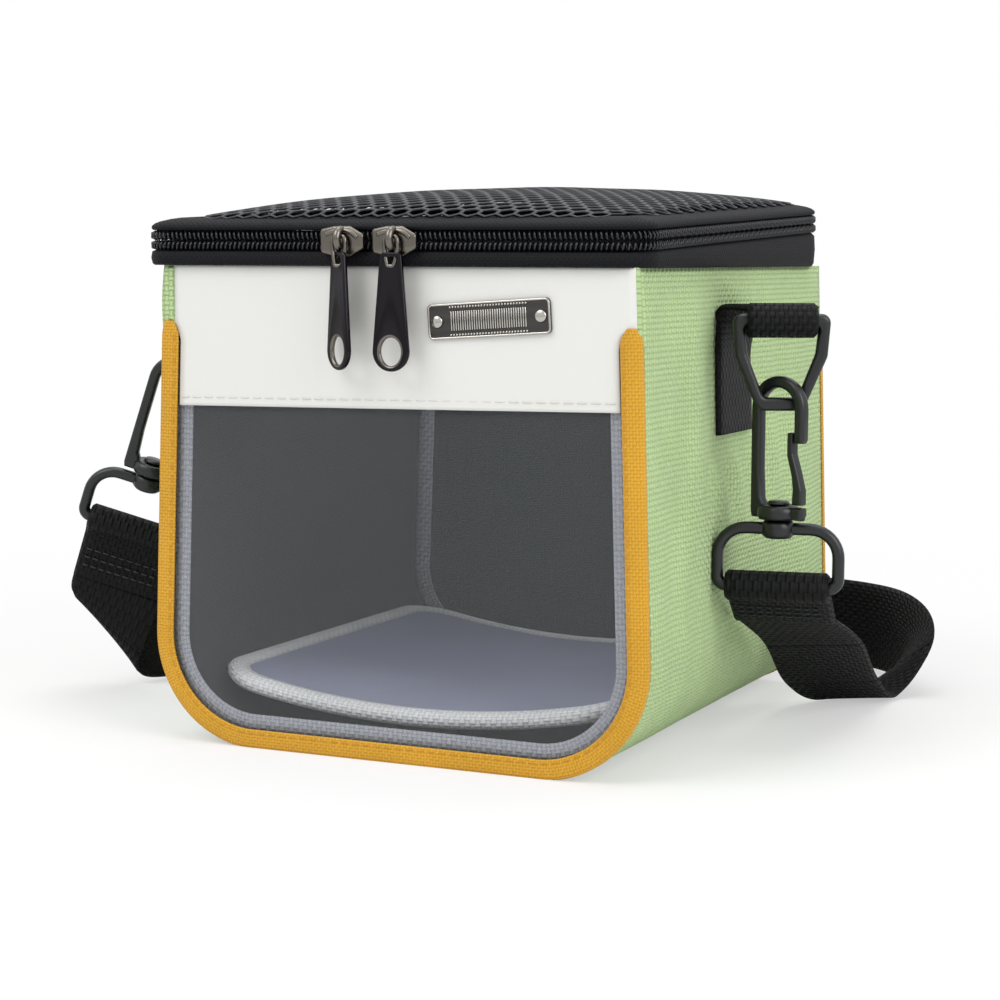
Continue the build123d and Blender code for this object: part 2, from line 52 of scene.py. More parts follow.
def linear(hexColour):
    # sRGB hex to the linear values that shaders take
    values = [int(hexColour[i:i + 2], 16) / 255 for i in (1, 3, 5)]
    return [v / 12.92 if v <= 0.04045 else ((v + 0.055) / 1.055) ** 2.4 for v in values] + [1.0]


def addNode(owner, kind, settings=None, inputs=None):
    # adds a node to a material or the world, sets its properties and fills or links its inputs
    node = owner.node_tree.nodes.new("ShaderNode" + kind)
    for key, value in (settings or {}).items():
        setattr(node, key, value)
    for key, value in (inputs or {}).items():
        if isinstance(value, bpy.types.NodeSocket):
            owner.node_tree.links.new(value, node.inputs[key])
        else:
            node.inputs[key].default_value = value
    return node


def newMaterial(name, colour, roughness, metallic=0.0, **more):
    mat = bpy.data.materials.new(name)
    mat.use_nodes = True
    shader = mat.node_tree.nodes["Principled BSDF"]
    shader.inputs["Base Color"].default_value = linear(colour)
    shader.inputs["Roughness"].default_value = roughness
    shader.inputs["Metallic"].default_value = metallic
    for key, value in more.items():
        shader.inputs[key.replace("_", " ")].default_value = value
    return mat


def link(mat, socket, target):
    mat.node_tree.links.new(socket, mat.node_tree.nodes["Principled BSDF"].inputs[target])


def addObject(name, data):
    obj = bpy.data.objects.new(name, data)
    scene.collection.objects.link(obj)
    return obj


def addPiece(name, mesh, mat, body, nodes):
    # a finished mesh becomes a piece that stands for some nodes and rides on a body
    mesh.materials.clear()
    mesh.materials.append(mat)
    obj = addObject(name, mesh)
    if nodes:
        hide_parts(*nodes)
    if body:
        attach(obj, body)
    return obj


def cleanMesh(mesh, weld=0.0):
    # merges points that are closer than weld and turns every face outward
    bm = bmesh.new()
    bm.from_mesh(mesh)
    if weld:
        bmesh.ops.remove_doubles(bm, verts=bm.verts, dist=weld * mm)
    bmesh.ops.recalc_face_normals(bm, faces=bm.faces)
    bm.to_mesh(mesh)
    bm.free()
    for poly in mesh.polygons:
        poly.use_smooth = True


def addMesh(name, points, faces, mat, body, nodes=(), uvs=None, weld=0.0):
    mesh = bpy.data.meshes.new(name)
    mesh.from_pydata([Vector(p) * mm for p in points], [], faces)
    if uvs:
        layer = mesh.uv_layers.new(name="cloth")
        for loop in mesh.loops:
            layer.data[loop.index].uv = uvs[loop.vertex_index]
    cleanMesh(mesh, weld)
    return addPiece(name, mesh, mat, body, nodes)


def gridFaces(rows, columns):
    # faces between points that lie row by row
    faces = []
    for i in range(rows - 1):
        for a in range(i * columns, (i + 1) * columns - 1):
            faces.append((a, a + 1, a + columns + 1, a + columns))
    return faces


def thicken(obj, thickness, offset=0.0):
    # gives a sheet its thickness; offset -1 puts all of it on the inner side
    thick = obj.modifiers.new("thickness", "SOLIDIFY")
    thick.thickness = thickness * mm
    thick.offset = offset


def joined(parts):
    # several lists of points and faces as one
    allPoints, allFaces = [], []
    for points, faces in parts:
        base = len(allPoints)
        allPoints += points
        allFaces += [tuple(base + i for i in face) for face in faces]
    return allPoints, allFaces


def circle(centre, xDir, yDir, radius, count):
    return [centre + xDir * radius * cos(t) + yDir * radius * sin(t)
            for t in (2 * pi * k / count for k in range(count))]


def tube(rings, closed=False):
    # joins equal rings of points into one skin, with flat ends where it isn't closed
    count = len(rings[0])
    points = [p for ring in rings for p in ring]
    faces = []
    for i in range(len(rings) if closed else len(rings) - 1):
        a = i * count
        b = (i + 1) % len(rings) * count
        for j in range(count):
            k = (j + 1) % count
            faces.append((a + j, a + k, b + k, b + j))
    if not closed:
        faces.append(tuple(range(count - 1, -1, -1)))
        faces.append(tuple(range(len(points) - count, len(points))))
    return points, faces


def addSkin(name, rings, mat, body, nodes=(), closed=False):
    # a cloth piece from rings; its coordinates are millimetres along and around the skin
    uvs = []
    along = 0.0
    for i, ring in enumerate(rings):
        if i:
            along += (Vector(ring[0]) - Vector(rings[i - 1][0])).length
        around = 0.0
        for j, p in enumerate(ring):
            if j:
                around += (Vector(p) - Vector(ring[j - 1])).length
            uvs.append((along, around))
    points, faces = tube(rings, closed)
    return addMesh(name, points, faces, mat, body, nodes, uvs)


def wire(points, radius, sides, closed=False):
    # round wire along a list of points
    points = [Vector(p) for p in points]
    rings = []
    side = None
    for i, p in enumerate(points):
        before = points[i - 1] if (i or closed) else p
        after = points[(i + 1) % len(points)] if (i < len(points) - 1 or closed) else p
        run = (after - before).normalized()
        if side is None:
            side = run.orthogonal().normalized()
        side = (side - run * side.dot(run)).normalized()
        rings.append(circle(p, side, run.cross(side), radius, sides))
    return tube(rings, closed)


def addWire(name, points, radius, sides, mat, body, nodes=(), closed=False):
    points, faces = wire(points, radius, sides, closed)
    return addMesh(name, points, faces, mat, body, nodes)


def smoothLine(points, steps):
    # Catmull-Rom through the points
    points = [Vector(p) for p in points]
    ends = [points[0] * 2 - points[1]] + points + [points[-1] * 2 - points[-2]]
    line = []
    for i in range(1, len(ends) - 2):
        p0, p1, p2, p3 = ends[i - 1:i + 3]
        for k in range(steps):
            t = k / steps
            line.append(0.5 * (2 * p1 + (p2 - p0) * t + (2 * p0 - 5 * p1 + 4 * p2 - p3) * t * t
                               + (3 * p1 - p0 - 3 * p2 + p3) * t ** 3))
    line.append(points[-1])
    return line


def ribbonRings(points, wides, widths, thickness):
    # a flat strap with rounded edges along points, its width along wides
    rings = []
    for i, p in enumerate(points):
        run = (points[min(i + 1, len(points) - 1)] - points[max(i - 1, 0)]).normalized()
        wide = wides[i].normalized()
        up = run.cross(wide).normalized()
        half, thin = widths[i] / 2, thickness / 2
        ring = [p + wide * (half - thin) * (k / 4 - 1) + up * thin for k in range(9)]
        ring.append(p + wide * half)
        ring += [p + wide * (half - thin) * (1 - k / 4) - up * thin for k in range(9)]
        ring.append(p - wide * half)
        rings.append(ring)
    return rings


def stitchRow(line, normal, length, gap, radius):
    # short threads one after the other along a line, raised along normal
    line = [Vector(p) for p in line]
    dist = [0.0]
    for a, b in zip(line, line[1:]):
        dist.append(dist[-1] + (b - a).length)

    def at(d):
        for i in range(len(line) - 1):
            if dist[i + 1] >= d:
                return line[i].lerp(line[i + 1], (d - dist[i]) / max(dist[i + 1] - dist[i], 1e-6))
        return line[-1]

    threads = []
    d = 0.4
    while d + length < dist[-1]:
        shape = ((0.0, -0.25), (0.15, 0.5), (0.5, 0.75), (0.85, 0.5), (1.0, -0.25))
        threads.append(wire([at(d + length * k) + normal * radius * lift for k, lift in shape], radius, 6))
        d += length + gap
    return joined(threads)


def platePiece(name, loops, thickness, bevel, place, mat, body, node=None):
    # a flat moulded or stamped shape with rolled edges; loops after the first are holes, and
    # it stands for the node that has its body's name where no other is given
    curve = bpy.data.curves.new(name + "Outline", "CURVE")
    curve.dimensions = "2D"
    curve.fill_mode = "BOTH"
    curve.extrude = (thickness / 2 - bevel) * mm
    curve.bevel_depth = bevel * mm
    curve.bevel_resolution = 3
    curve.offset = -bevel * mm
    for loop in loops:
        spline = curve.splines.new("POLY")
        spline.points.add(len(loop) - 1)
        for point, (x, y) in zip(spline.points, loop):
            point.co = (x * mm, y * mm, 0, 1)
        spline.use_cyclic_u = True
    temp = addObject(name + "Outline", curve)
    bpy.context.view_layer.update()
    mesh = bpy.data.meshes.new_from_object(temp.evaluated_get(bpy.context.evaluated_depsgraph_get()))
    bpy.data.objects.remove(temp)
    mesh.name = name
    scaled = place.copy()
    scaled.translation = scaled.translation * mm
    mesh.transform(scaled)
    cleanMesh(mesh, 0.004)
    mesh.set_sharp_from_angle(angle=radians(38))
    addPiece(name, mesh, mat, body, [node or body])


def arc(cx, cy, radius, start, end, steps, tall=1.0):
    # points between two angles in degrees; tall stretches the height
    angles = [radians(start + (end - start) * i / steps) for i in range(steps + 1)]
    return [(cx + radius * cos(t), cy + tall * radius * sin(t)) for t in angles]


def roundedLoop(corners, radii, steps=6):
    # polygon with each corner rounded, by one radius or a list of them
    loop = []
    for i, corner in enumerate(corners):
        p = Vector(corner)
        a = (Vector(corners[i - 1]) - p).normalized()
        b = (Vector(corners[(i + 1) % len(corners)]) - p).normalized()
        angle = a.angle(b)
        radius = radii[i] if isinstance(radii, list) else radii
        cut = radius / tan(angle / 2)
        centre = p + (a + b).normalized() * radius / sin(angle / 2)
        start = p + a * cut - centre
        turn = start.angle_signed(p + b * cut - centre)
        for k in range(steps + 1):
            t = -turn * k / steps
            loop.append((centre.x + start.x * cos(t) - start.y * sin(t),
                         centre.y + start.x * sin(t) + start.y * cos(t)))
    return loop


def rectangle(middle, halfLong, halfTall, radii, steps=6):
    # rounded rectangle whose middle is at a height of its own
    low, high = middle - halfTall, middle + halfTall
    return roundedLoop([(-halfLong, low), (halfLong, low), (halfLong, high), (-halfLong, high)], radii, steps)


def planeMatrix(origin, xDir, yDir):
    # places a flat shape's x and y along two directions
    x, y = Vector(xDir).normalized(), Vector(yDir).normalized()
    place = Matrix((x, y, x.cross(y))).transposed().to_4x4()
    place.translation = Vector(origin)
    return place


# materials


def weavePattern(mat, along, across):
    # plain weave: threads pass over and under each other; along and across are the
    # thread spacings in millimetres, read from the millimetre coordinates of the cloth
    coords = addNode(mat, "UVMap", {"uv_map": "cloth"})
    split = addNode(mat, "SeparateXYZ", None, {0: coords.outputs[0]})
    waves = []
    for socket, spacing in (("X", along), ("Y", across)):
        scaled = addNode(mat, "Math", {"operation": "MULTIPLY"},
                         {0: split.outputs[socket], 1: pi / spacing})
        waves.append(addNode(mat, "Math", {"operation": "SINE"}, {0: scaled.outputs[0]}))
    product = addNode(mat, "Math", {"operation": "MULTIPLY"},
                      {0: waves[0].outputs[0], 1: waves[1].outputs[0]})
    over = addNode(mat, "Math", {"operation": "GREATER_THAN"}, {0: product.outputs[0], 1: 0.0})
    crowns = [addNode(mat, "Math", {"operation": "ABSOLUTE"}, {0: w.outputs[0]}) for w in waves]
    crown = addNode(mat, "Mix", {"data_type": "FLOAT"},
                    {0: over.outputs[0], 2: crowns[0].outputs[0], 3: crowns[1].outputs[0]})
    return crown.outputs[0]


def wovenMaterial(name, thread, gap, along, across, roughness, height, sheen=0.2):
    # woven cloth: gaps between the threads painted darker as shade, soft sheen, faint blotches about 18 mm
    # across
    mat = newMaterial(name, thread, roughness, Sheen_Weight=sheen, Sheen_Roughness=0.5,
                      Specular_IOR_Level=0.18)
    crown = weavePattern(mat, along, across)
    sharper = addNode(mat, "Math", {"operation": "POWER"}, {0: crown, 1: 0.55})
    # the gap colour is painted shade in the hollows between the threads; the thread colour sits on the crowns
    ramp = addNode(mat, "Mix", {"data_type": "RGBA"},
                   {0: sharper.outputs[0], 6: linear(gap), 7: linear(thread)})
    where = addNode(mat, "TexCoord")
    cloud = addNode(mat, "TexNoise", None,
                    {"Vector": where.outputs["Object"], "Scale": 55.0, "Detail": 4.0})
    level = addNode(mat, "MapRange", None, {0: cloud.outputs[0], 3: 0.88, 4: 1.12})
    tone = addNode(mat, "HueSaturation", None, {"Color": ramp.outputs[2], "Value": level.outputs[0]})
    link(mat, tone.outputs[0], "Base Color")
    bump = addNode(mat, "Bump", None, {"Height": crown, "Strength": 1.0, "Distance": height * mm})
    link(mat, bump.outputs[0], "Normal")
    return mat


def grainMaterial(name, colour, roughness, grain, height, metallic=0.0):
    # moulded or plated surface: a fine grain, its size in millimetres, and slightly uneven gloss
    mat = newMaterial(name, colour, roughness, metallic)
    where = addNode(mat, "TexCoord")
    fine = addNode(mat, "TexNoise", None,
                   {"Vector": where.outputs["Object"], "Scale": 1000 / grain, "Detail": 3.0})
    bump = addNode(mat, "Bump", None,
                   {"Height": fine.outputs[0], "Strength": 0.6, "Distance": height * mm})
    link(mat, bump.outputs[0], "Normal")
    broad = addNode(mat, "TexNoise", None,
                    {"Vector": where.outputs["Object"], "Scale": 120.0, "Detail": 2.0})
    gloss = addNode(mat, "MapRange", None,
                    {0: broad.outputs[0], 3: max(roughness - 0.08, 0.02), 4: roughness + 0.1})
    link(mat, gloss.outputs[0], "Roughness")
    return mat


# in each woven cloth below, the second colour is painted shade in the gaps between the threads
# polyester canvas, 600 denier: chunky threads about a millimetre apart; its second, darker green is painted
# shade between the threads
canvasGreen = wovenMaterial("canvasGreen", "#BAD19B", "#9CBB78", 1.35, 1.2, 0.75, 0.4, sheen=0.1)
# grosgrain binding tape: ribs across the tape, a little glossier than canvas
tapeYellow = wovenMaterial("grosgrainYellow", "#DFA834", "#C68D22", 0.8, 0.75, 0.65, 0.2, sheen=0.1)
tapeGrey = wovenMaterial("grosgrainGrey", "#9A9DA5", "#6C6F77", 1.3, 1.2, 0.6, 0.2)
# herringbone trim of the mat, drawn coarse enough to show
trimGrey = wovenMaterial("herringboneTrim", "#D6D8DA", "#A4A6AA", 1.4, 0.9, 0.65, 0.18)
# coated leatherette: satin skin over cloth, almost no grain at this distance
bandWhite = grainMaterial("leatheretteWhite", "#E0E0DC", 0.42, 0.5, 0.03)
# polyester lining: smooth and dark, one cloth in two copies; the back wall's copy is darker, painted shade
liningDark = wovenMaterial("liningGrey", "#3C3D40", "#333437", 0.5, 0.5, 0.75, 0.03, sheen=0.0)
liningBackShaded = wovenMaterial("liningGreyShaded", "#222429", "#1D1F23", 0.5, 0.5, 0.75, 0.03, sheen=0.0)
# mat top: coated taffeta with a cool grey cast
matCloth = wovenMaterial("taffetaGrey", "#8388A0", "#727790", 0.4, 0.4, 0.55, 0.03)
# nylon tape and hems: matte black cloth with a fine weave
clothBlack = wovenMaterial("nylonBlack", "#0E0F13", "#060608", 0.7, 0.7, 0.7, 0.10, sheen=0.0)
# nylon webbing: thick ribs that catch light on their crowns
webBlack = wovenMaterial("webbingBlack", "#0D0D10", "#050506", 1.7, 1.1, 0.6, 0.35, sheen=0.0)
# nylon monofilament: the net is dull, the coil of the zip shines on each turn
netBlack = grainMaterial("netNavy", "#12141C", 0.45, 0.4, 0.05)
coilBlack = grainMaterial("coilNylon", "#131418", 0.3, 0.3, 0.01)
# acetal clips: satin moulded plastic with soft highlights
clipBlack = grainMaterial("acetalBlack", "#0C0E11", 0.34, 0.4, 0.015)
# plated zinc: dark gunmetal sliders, black nickel pulls, bright nickel on a dulled plate
gunmetal = grainMaterial("gunmetalZinc", "#6F6A63", 0.24, 0.5, 0.01, metallic=1.0)
blackNickel = grainMaterial("blackNickel", "#2A282B", 0.18, 0.6, 0.006, metallic=1.0)
brightNickel = grainMaterial("brightNickel", "#B4B1AB", 0.2, 0.5, 0.01, metallic=1.0)
plateGround = grainMaterial("antiquedNickel", "#4C4A48", 0.26, 0.5, 0.01, metallic=1.0)
# spun polyester thread: matte
threadWhite = newMaterial("threadWhite", "#D8D8D3", 0.7)
threadBlack = newMaterial("threadBlack", "#2C2D31", 0.6)
threadYellow = newMaterial("threadYellow", "#C99023", 0.7)
# clear PVC film: thin, glossy and faintly grey
filmClear = newMaterial("filmClear", "#DDE3E6", 0.05, Alpha=0.04, IOR=1.53, Specular_IOR_Level=0.12)
print("materials ready")

# the body's outline, as in the CAD

shell = {"halfBase": 66.0, "lean": 0.034, "top": 118.0, "corner": 27.0, "front": -68.0, "back": 67.0}


def outlinePath(inset, top, step):
    # points and outward normals of the U from the left top to the right top
    halfLow = shell["halfBase"] - shell["lean"] * inset - inset
    halfTop = shell["halfBase"] - shell["lean"] * top - inset
    rise = Vector((halfTop - halfLow, top - inset)).normalized()
    normal = Vector((rise.y, -rise.x))
    radius = shell["corner"] - inset
    bend = pi / 2 + atan2(normal.y, normal.x)
    centre = Vector((halfLow - radius * tan(bend / 2), inset + radius))
    right = []
    count = int(centre.x / step) + 1
    for i in range(count):
        right.append((Vector((centre.x * i / count, inset)), Vector((0, -1))))
    count = int(radius * pi / 2 / step) + 4
    for i in range(count + 1):
        t = -pi / 2 + bend * i / count
        n = Vector((cos(t), sin(t)))
        right.append((centre + n * radius, n))
    start, end = right[-1][0], Vector((halfTop, top))
    count = int((end - start).length / step) + 1
    for i in range(1, count + 1):
        right.append((start.lerp(end, i / count), normal))
    left = [(Vector((-p.x, p.y)), Vector((-n.x, n.y))) for p, n in right[:0:-1]]
    return left + right


def sweepOutline(name, profile, top, mat, node, taper=0.0):
    # sweeps a closed (inset, y) profile round the U of the body; its ends narrow over taper
    step = 1.6
    path = outlinePath(0, top, step)
    middle = sum(inset for inset, y in profile) / len(profile)
    rings = []
    for i, (p, n) in enumerate(path):
        edge = min(i, len(path) - 1 - i) * step
        squeeze = 1.0 if edge >= taper else 0.45 + 0.55 * sqrt(edge / taper)
        ring = []
        for inset, y in profile:
            depth = middle + (inset - middle) * squeeze
            ring.append((p.x - n.x * depth, y, p.y - n.y * depth))
        rings.append(ring)
    return addSkin(name, rings, mat, "bag", [node])


# side walls: the canvas puckers below the sewn tab, lies flat under it and gives way to the strap

outerWall = {"inset": 0.0, "step": 1.5, "columns": 90, "thick": 0.9, "bulge": 1.7, "front": 1.3, "back": 2.7}
innerWall = {"inset": 2.9, "step": 3.0, "columns": 40, "thick": 0.4, "bulge": 0.0, "front": 0.0, "back": 0.0}
pucker = {"y": -9, "z": 72, "long": 16, "tall": 22, "depth": 1.4, "wave": 1.3}
tab = {"y": -8, "z": 89, "halfLong": 13.5, "halfTall": 15, "fade": 5, "lift": 0.2}
dent = {"y": -2, "z": 30, "wide": 24}


def hump(distance, width):
    return exp(-(distance / width) ** 2)


def clamp(value):
    return min(max(value, 0), 1)


def sideBulge(p, n, y, amount):
    # how far the cloth stands out from the outline's point p at depth y
    depth = (y - shell["front"]) / (shell["back"] - shell["front"])
    seam = sin(pi * clamp(depth)) ** 0.5
    rise = clamp((p.y - 2) / 30)
    roof = clamp((shell["top"] - p.y) / 12)
    out = amount * seam * rise * (0.35 + 0.65 * roof)
    wrinkle = noise.noise(Vector((y * 0.04, p.y * 0.022, p.x * 0.01))) * 2.6
    fold = noise.noise(Vector((y * 0.12, p.y * 0.03, 5.0))) * 1.4
    out += (wrinkle + fold) * seam * rise * roof
    near = hump(y - pucker["y"], pucker["long"]) * hump(p.y - pucker["z"], pucker["tall"])
    out += near * (pucker["wave"] * sin(y * 0.42 + p.y * 0.16) - pucker["depth"])
    pressed = min(1.5 * hump(y - dent["y"], dent["wide"]) * hump(p.y - dent["z"], dent["wide"]), 1)
    out -= pressed * max(out + 0.2, 0)
    sewn = hump(max(abs(y - tab["y"]) - tab["halfLong"], 0), tab["fade"])
    sewn *= hump(max(abs(p.y - tab["z"]) - tab["halfTall"], 0), tab["fade"])
    out += sewn * (tab["lift"] - out)
    return out * abs(n.x) ** 0.5


def wallShell(name, size, mat, nodes):
    # cloth round both sides and the bottom; the canvas also reaches to the front and back seams
    rows = outlinePath(size["inset"], shell["top"], size["step"])
    last = size["columns"]
    points, uvs = [], []
    for i, (p, n) in enumerate(rows):
        for j in range(last + 1):
            y = shell["front"] + (shell["back"] - shell["front"]) * j / last
            out = sideBulge(p, n, y, size["bulge"]) if size["bulge"] else 0.0
            reach = size["back"] if j == last else 0.0
            if j == 0 and p.y > 100:
                reach = -size["front"]
            points.append((p.x + n.x * out, y + reach, max(p.y + n.y * out, 0.0)))
            uvs.append((i * size["step"], y))
    obj = addMesh(name, points, gridFaces(len(rows), last + 1), mat, "bag", nodes, uvs)
    # the thickness goes inward, so the bottom has to look down
    if obj.data.polygons[len(obj.data.polygons) // 2].normal.z > 0:
        obj.data.flip_normals()
    thicken(obj, size["thick"], -1.0)


wallShell("gussetCanvas", outerWall, canvasGreen, ["gusset_outer", "gusset_foam"])
wallShell("gussetLining", innerWall, liningDark, ["gusset_lining"])
print("side walls ready")

# back wall and window


def panelGrid(name, y, bulge, inset, mat, nodes, thickness):
    # a flat panel in the body's outline, bowed a little in its middle
    cells = 44
    top = shell["top"]
    edge = sorted((p.y, -p.x) for p, n in outlinePath(inset, top, 1.5) if p.x <= 0)
    points, uvs = [], []
    for i in range(cells + 1):
        z = inset + (top - inset) * (i / cells) ** 1.4
        half = edge[-1][1]
        for (z0, half0), (z1, half1) in zip(edge, edge[1:]):
            if z0 <= z <= z1:
                half = half0 + (half1 - half0) * (z - z0) / max(z1 - z0, 1e-9)
        if i == 0:
            half = shell["halfBase"] - shell["corner"]
        for j in range(cells + 1):
            x = -half + 2 * half * j / cells
            bow = max(cos(pi / 2 * x / half), 0) * max(sin(pi * (z - inset) / (top - inset)), 0)
            points.append((x, y + bulge * bow ** 0.7, z))
            uvs.append((x, z))
    obj = addMesh(name, points, gridFaces(cells + 1, cells + 1), mat, "bag", nodes, uvs)
    thicken(obj, thickness)


panelGrid("backCanvas", 69.9, 1.2, 0.2, canvasGreen, ["back_panel", "back_foam"], 0.8)
# the back lining takes the darker copy of the lining: painted shade on the far wall inside
panelGrid("backLining", 67.1, 0.0, 0.6, liningBackShaded, ["back_lining"], 0.5)
panelGrid("windowFilm", -68.2, 0.0, 1.2, filmClear, ["window_pane"], 0.35)

# white band: full width above the binding's ends, tucked under the binding below them

band = {"low": 84.6, "y": -68.9, "left": 59.6, "slope": 1.8, "wideFrom": 103, "thick": 0.9}
bandTall = shell["top"] - band["low"]
points, uvs = [], []
for i in range(41):
    z = band["low"] + bandTall * i / 40
    tuck = 5.0 - 2.6 * clamp((z - 100) / 6) if z < band["wideFrom"] else 0.5
    half = shell["halfBase"] - shell["lean"] * z - tuck
    left = min(half, band["left"])
    for j in range(61):
        x = -left + (left + half) * j / 60
        middle = sin(pi * j / 60)
        soft = 0.5 * middle * sin(pi * (z - band["low"]) / bandTall)
        ripple = 0.35 * middle * noise.noise(Vector((x * 0.05, z * 0.03, 2.0)))
        slope = band["slope"] * (j / 60 - 0.5) * max(0, 1 - (z - band["low"]) / 12)
        points.append((x, band["y"] - soft - ripple, z + slope))
        uvs.append((x, z))
faces = gridFaces(41, 61)
whiteBand = addMesh("whiteBand", points, faces, bandWhite, "bag", ["front_band"], uvs)
thicken(whiteBand, band["thick"])

# the side's canvas turns over the left end of the band
canvas = {"low": 102.0, "tall": 16.0, "inner": 59.3, "y": -69.25, "thick": 0.7}
points, uvs = [], []
for i in range(13):
    z = canvas["low"] + canvas["tall"] * i / 12
    outside = shell["halfBase"] - shell["lean"] * z + 0.5 * sin(pi * i / 12)
    for j in range(5):
        x = -outside + (outside - canvas["inner"]) * j / 4
        points.append((x, canvas["y"] + 0.35 * (j / 4 - 0.5) ** 2, z))
        uvs.append((x, z))
faces = gridFaces(13, 5)
canvasTurn = addMesh("canvasTurn", points, faces, canvasGreen, "bag", uvs=uvs)
thicken(canvasTurn, canvas["thick"])

# a row of plain thread along the band's lower edge
outward = Vector((0, -1, 0))
seamLine = [(-58 + 116 * k / 80, band["y"] - 0.5, 85.8 + band["slope"] * k / 80) for k in range(81)]
points, faces = stitchRow(seamLine, outward, 2.3, 1.1, 0.16)
addMesh("bandThread", points, faces, threadWhite, "bag")

# yellow binding folded over the front seam, and the same at the back

binding = {"top": 104.5, "taper": 3.5, "stitchIn": 3.7, "stitchY": -70.1}
frontWrap = [(-0.35, -67.4), (-0.45, -68.0), (-0.45, -69.2), (-0.1, -69.9), (0.8, -70.15), (2.4, -70.2),
             (3.9, -70.1), (4.5, -69.8), (4.5, -69.45), (2.4, -69.5), (0.6, -69.3), (0.1, -68.3),
             (0.0, -67.4)]
backWrap = [(inset, 1.2 - y) for inset, y in frontWrap]
for end, profile in (("front", frontWrap), ("back", backWrap)):
    tape = sweepOutline(end + "Binding", profile, binding["top"], tapeYellow, end + "_binding",
                        binding["taper"])
    for vertex in tape.data.vertices:
        vertex.co.z = max(vertex.co.z, 0.0)
threadLine = [(p.x - n.x * binding["stitchIn"], binding["stitchY"], p.y - n.y * binding["stitchIn"])
              for p, n in outlinePath(0, 102, 1.6)]
points, faces = stitchRow(threadLine, outward, 2.0, 0.9, 0.14)
addMesh("bindingThread", points, faces, threadYellow, "bag")

# grey tapes over the seams inside
innerFront = [(3.3, -67.9), (3.3, -67.1), (5.2, -66.9), (7.2, -67.1), (7.9, -67.6), (7.9, -67.9)]
innerBack = [(3.3, 66.9), (3.3, 66.1), (5.2, 65.9), (7.2, 66.1), (7.9, 66.5), (7.9, 66.9)]
sweepOutline("innerFrontTape", innerFront, 117.0, tapeGrey, "inner_front_tape")
sweepOutline("innerBackTape", innerBack, 117.0, tapeGrey, "inner_back_tape")
print("front and back ready")

# collar, zip and lid, on the leaning zip plane

zipPlane = {"height": 126.9, "tilt": radians(2.5), "halfX": 64.5, "halfY": 71.0, "radius": 18.0,
            "frontRadius": 7.5, "flare": 3.2}


def onZip(x, y, w):
    # a point at height w above the zip plane
    t = zipPlane["tilt"]
    return Vector((x, y * cos(t) - w * sin(t), zipPlane["height"] + y * sin(t) + w * cos(t)))


def planPath(step):
    # points and normals round the collar from above, clockwise from the back; the left
    # front corner stands further out
    hx, hy, r, f = (zipPlane[key] for key in ("halfX", "halfY", "radius", "frontRadius"))
    wide = hx + zipPlane["flare"]
    corners = ((hx - r, hy - r, 90, r), (hx - f, f - hy, 0, f),
               (f - wide, f - hy, -90, f), (r - hx, hy - r, -180, r))
    bends = []
    for cx, cy, start, size in corners:
        for x, y in arc(0, 0, 1, start, start - 90, 12):
            bends.append((Vector((cx + size * x, cy + size * y)), Vector((x, y))))
    path = []
    for i, (p, n) in enumerate(bends):
        q, m = bends[(i + 1) % len(bends)]
        count = max(int((q - p).length / step), 1)
        for k in range(count):
            path.append((p.lerp(q, k / count), n.lerp(m, k / count).normalized()))
    return path


def sweepPlan(name, profile, body, node):
    # sweeps a closed (out, w) profile of black cloth round the collar
    rings = [[onZip(p.x + n.x * out, p.y + n.y * out, w) for out, w in profile] for p, n in planPath(3.0)]
    addSkin(name, rings, clothBlack, body, [node], closed=True)


# collar: its lower edge is level, its upper edge follows the zip
collar = {"low": 117.9, "high": -2.35, "swell": 0.45}
rings = []
for p, n in planPath(2.5):
    tall = onZip(p.x, p.y, collar["high"]).z - collar["low"]
    swell = collar["swell"] + 0.25 * noise.noise(Vector((p.x * 0.05, p.y * 0.05, 1.0)))
    profile = ((-2.3, 0.0), (-0.4, 0.0), (0.15, 0.1), (swell, 0.5), (0.2, 0.9), (-0.7, 1.0), (-2.3, 1.0))
    rings.append([(p.x + n.x * out, p.y + n.y * out, collar["low"] + tall * share) for out, share in profile])
addSkin("collarBand", rings, clothBlack, "bag", ["collar_band"], closed=True)

# hem that closes the gap between the collar and the body's walls
hem = {"in": 2.0, "halfX": 58.2, "front": -67.4, "back": 66.4, "low": 118.0}
rings = []
for p, n in planPath(3.0):
    x, y = p.x - n.x * hem["in"], p.y - n.y * hem["in"]
    innerX = max(min(x, hem["halfX"]), -hem["halfX"])
    innerY = max(min(y, hem["back"]), hem["front"])
    rings.append([(x, y, hem["low"]), (x, y, hem["low"] + 0.7),
                  (innerX, innerY, hem["low"] + 0.6), (innerX, innerY, hem["low"])])
addSkin("collarHem", rings, clothBlack, "bag", ["collar_hem"], closed=True)

sweepPlan("zipTapeLower", [(-1.3, -2.4), (-1.9, -2.4), (-1.9, -0.35), (-1.3, -0.35)], "bag", "zip_tape_lower")
sweepPlan("zipTapeUpper", [(-1.3, 0.35), (-1.9, 0.35), (-1.9, 2.4), (-1.3, 2.4)], "lid", "zip_tape_upper")

coil = {"turn": 1.25, "wire": 0.27, "in": 0.35, "deep": 0.75, "middle": 1.18, "tall": 0.98, "step": 0.22}


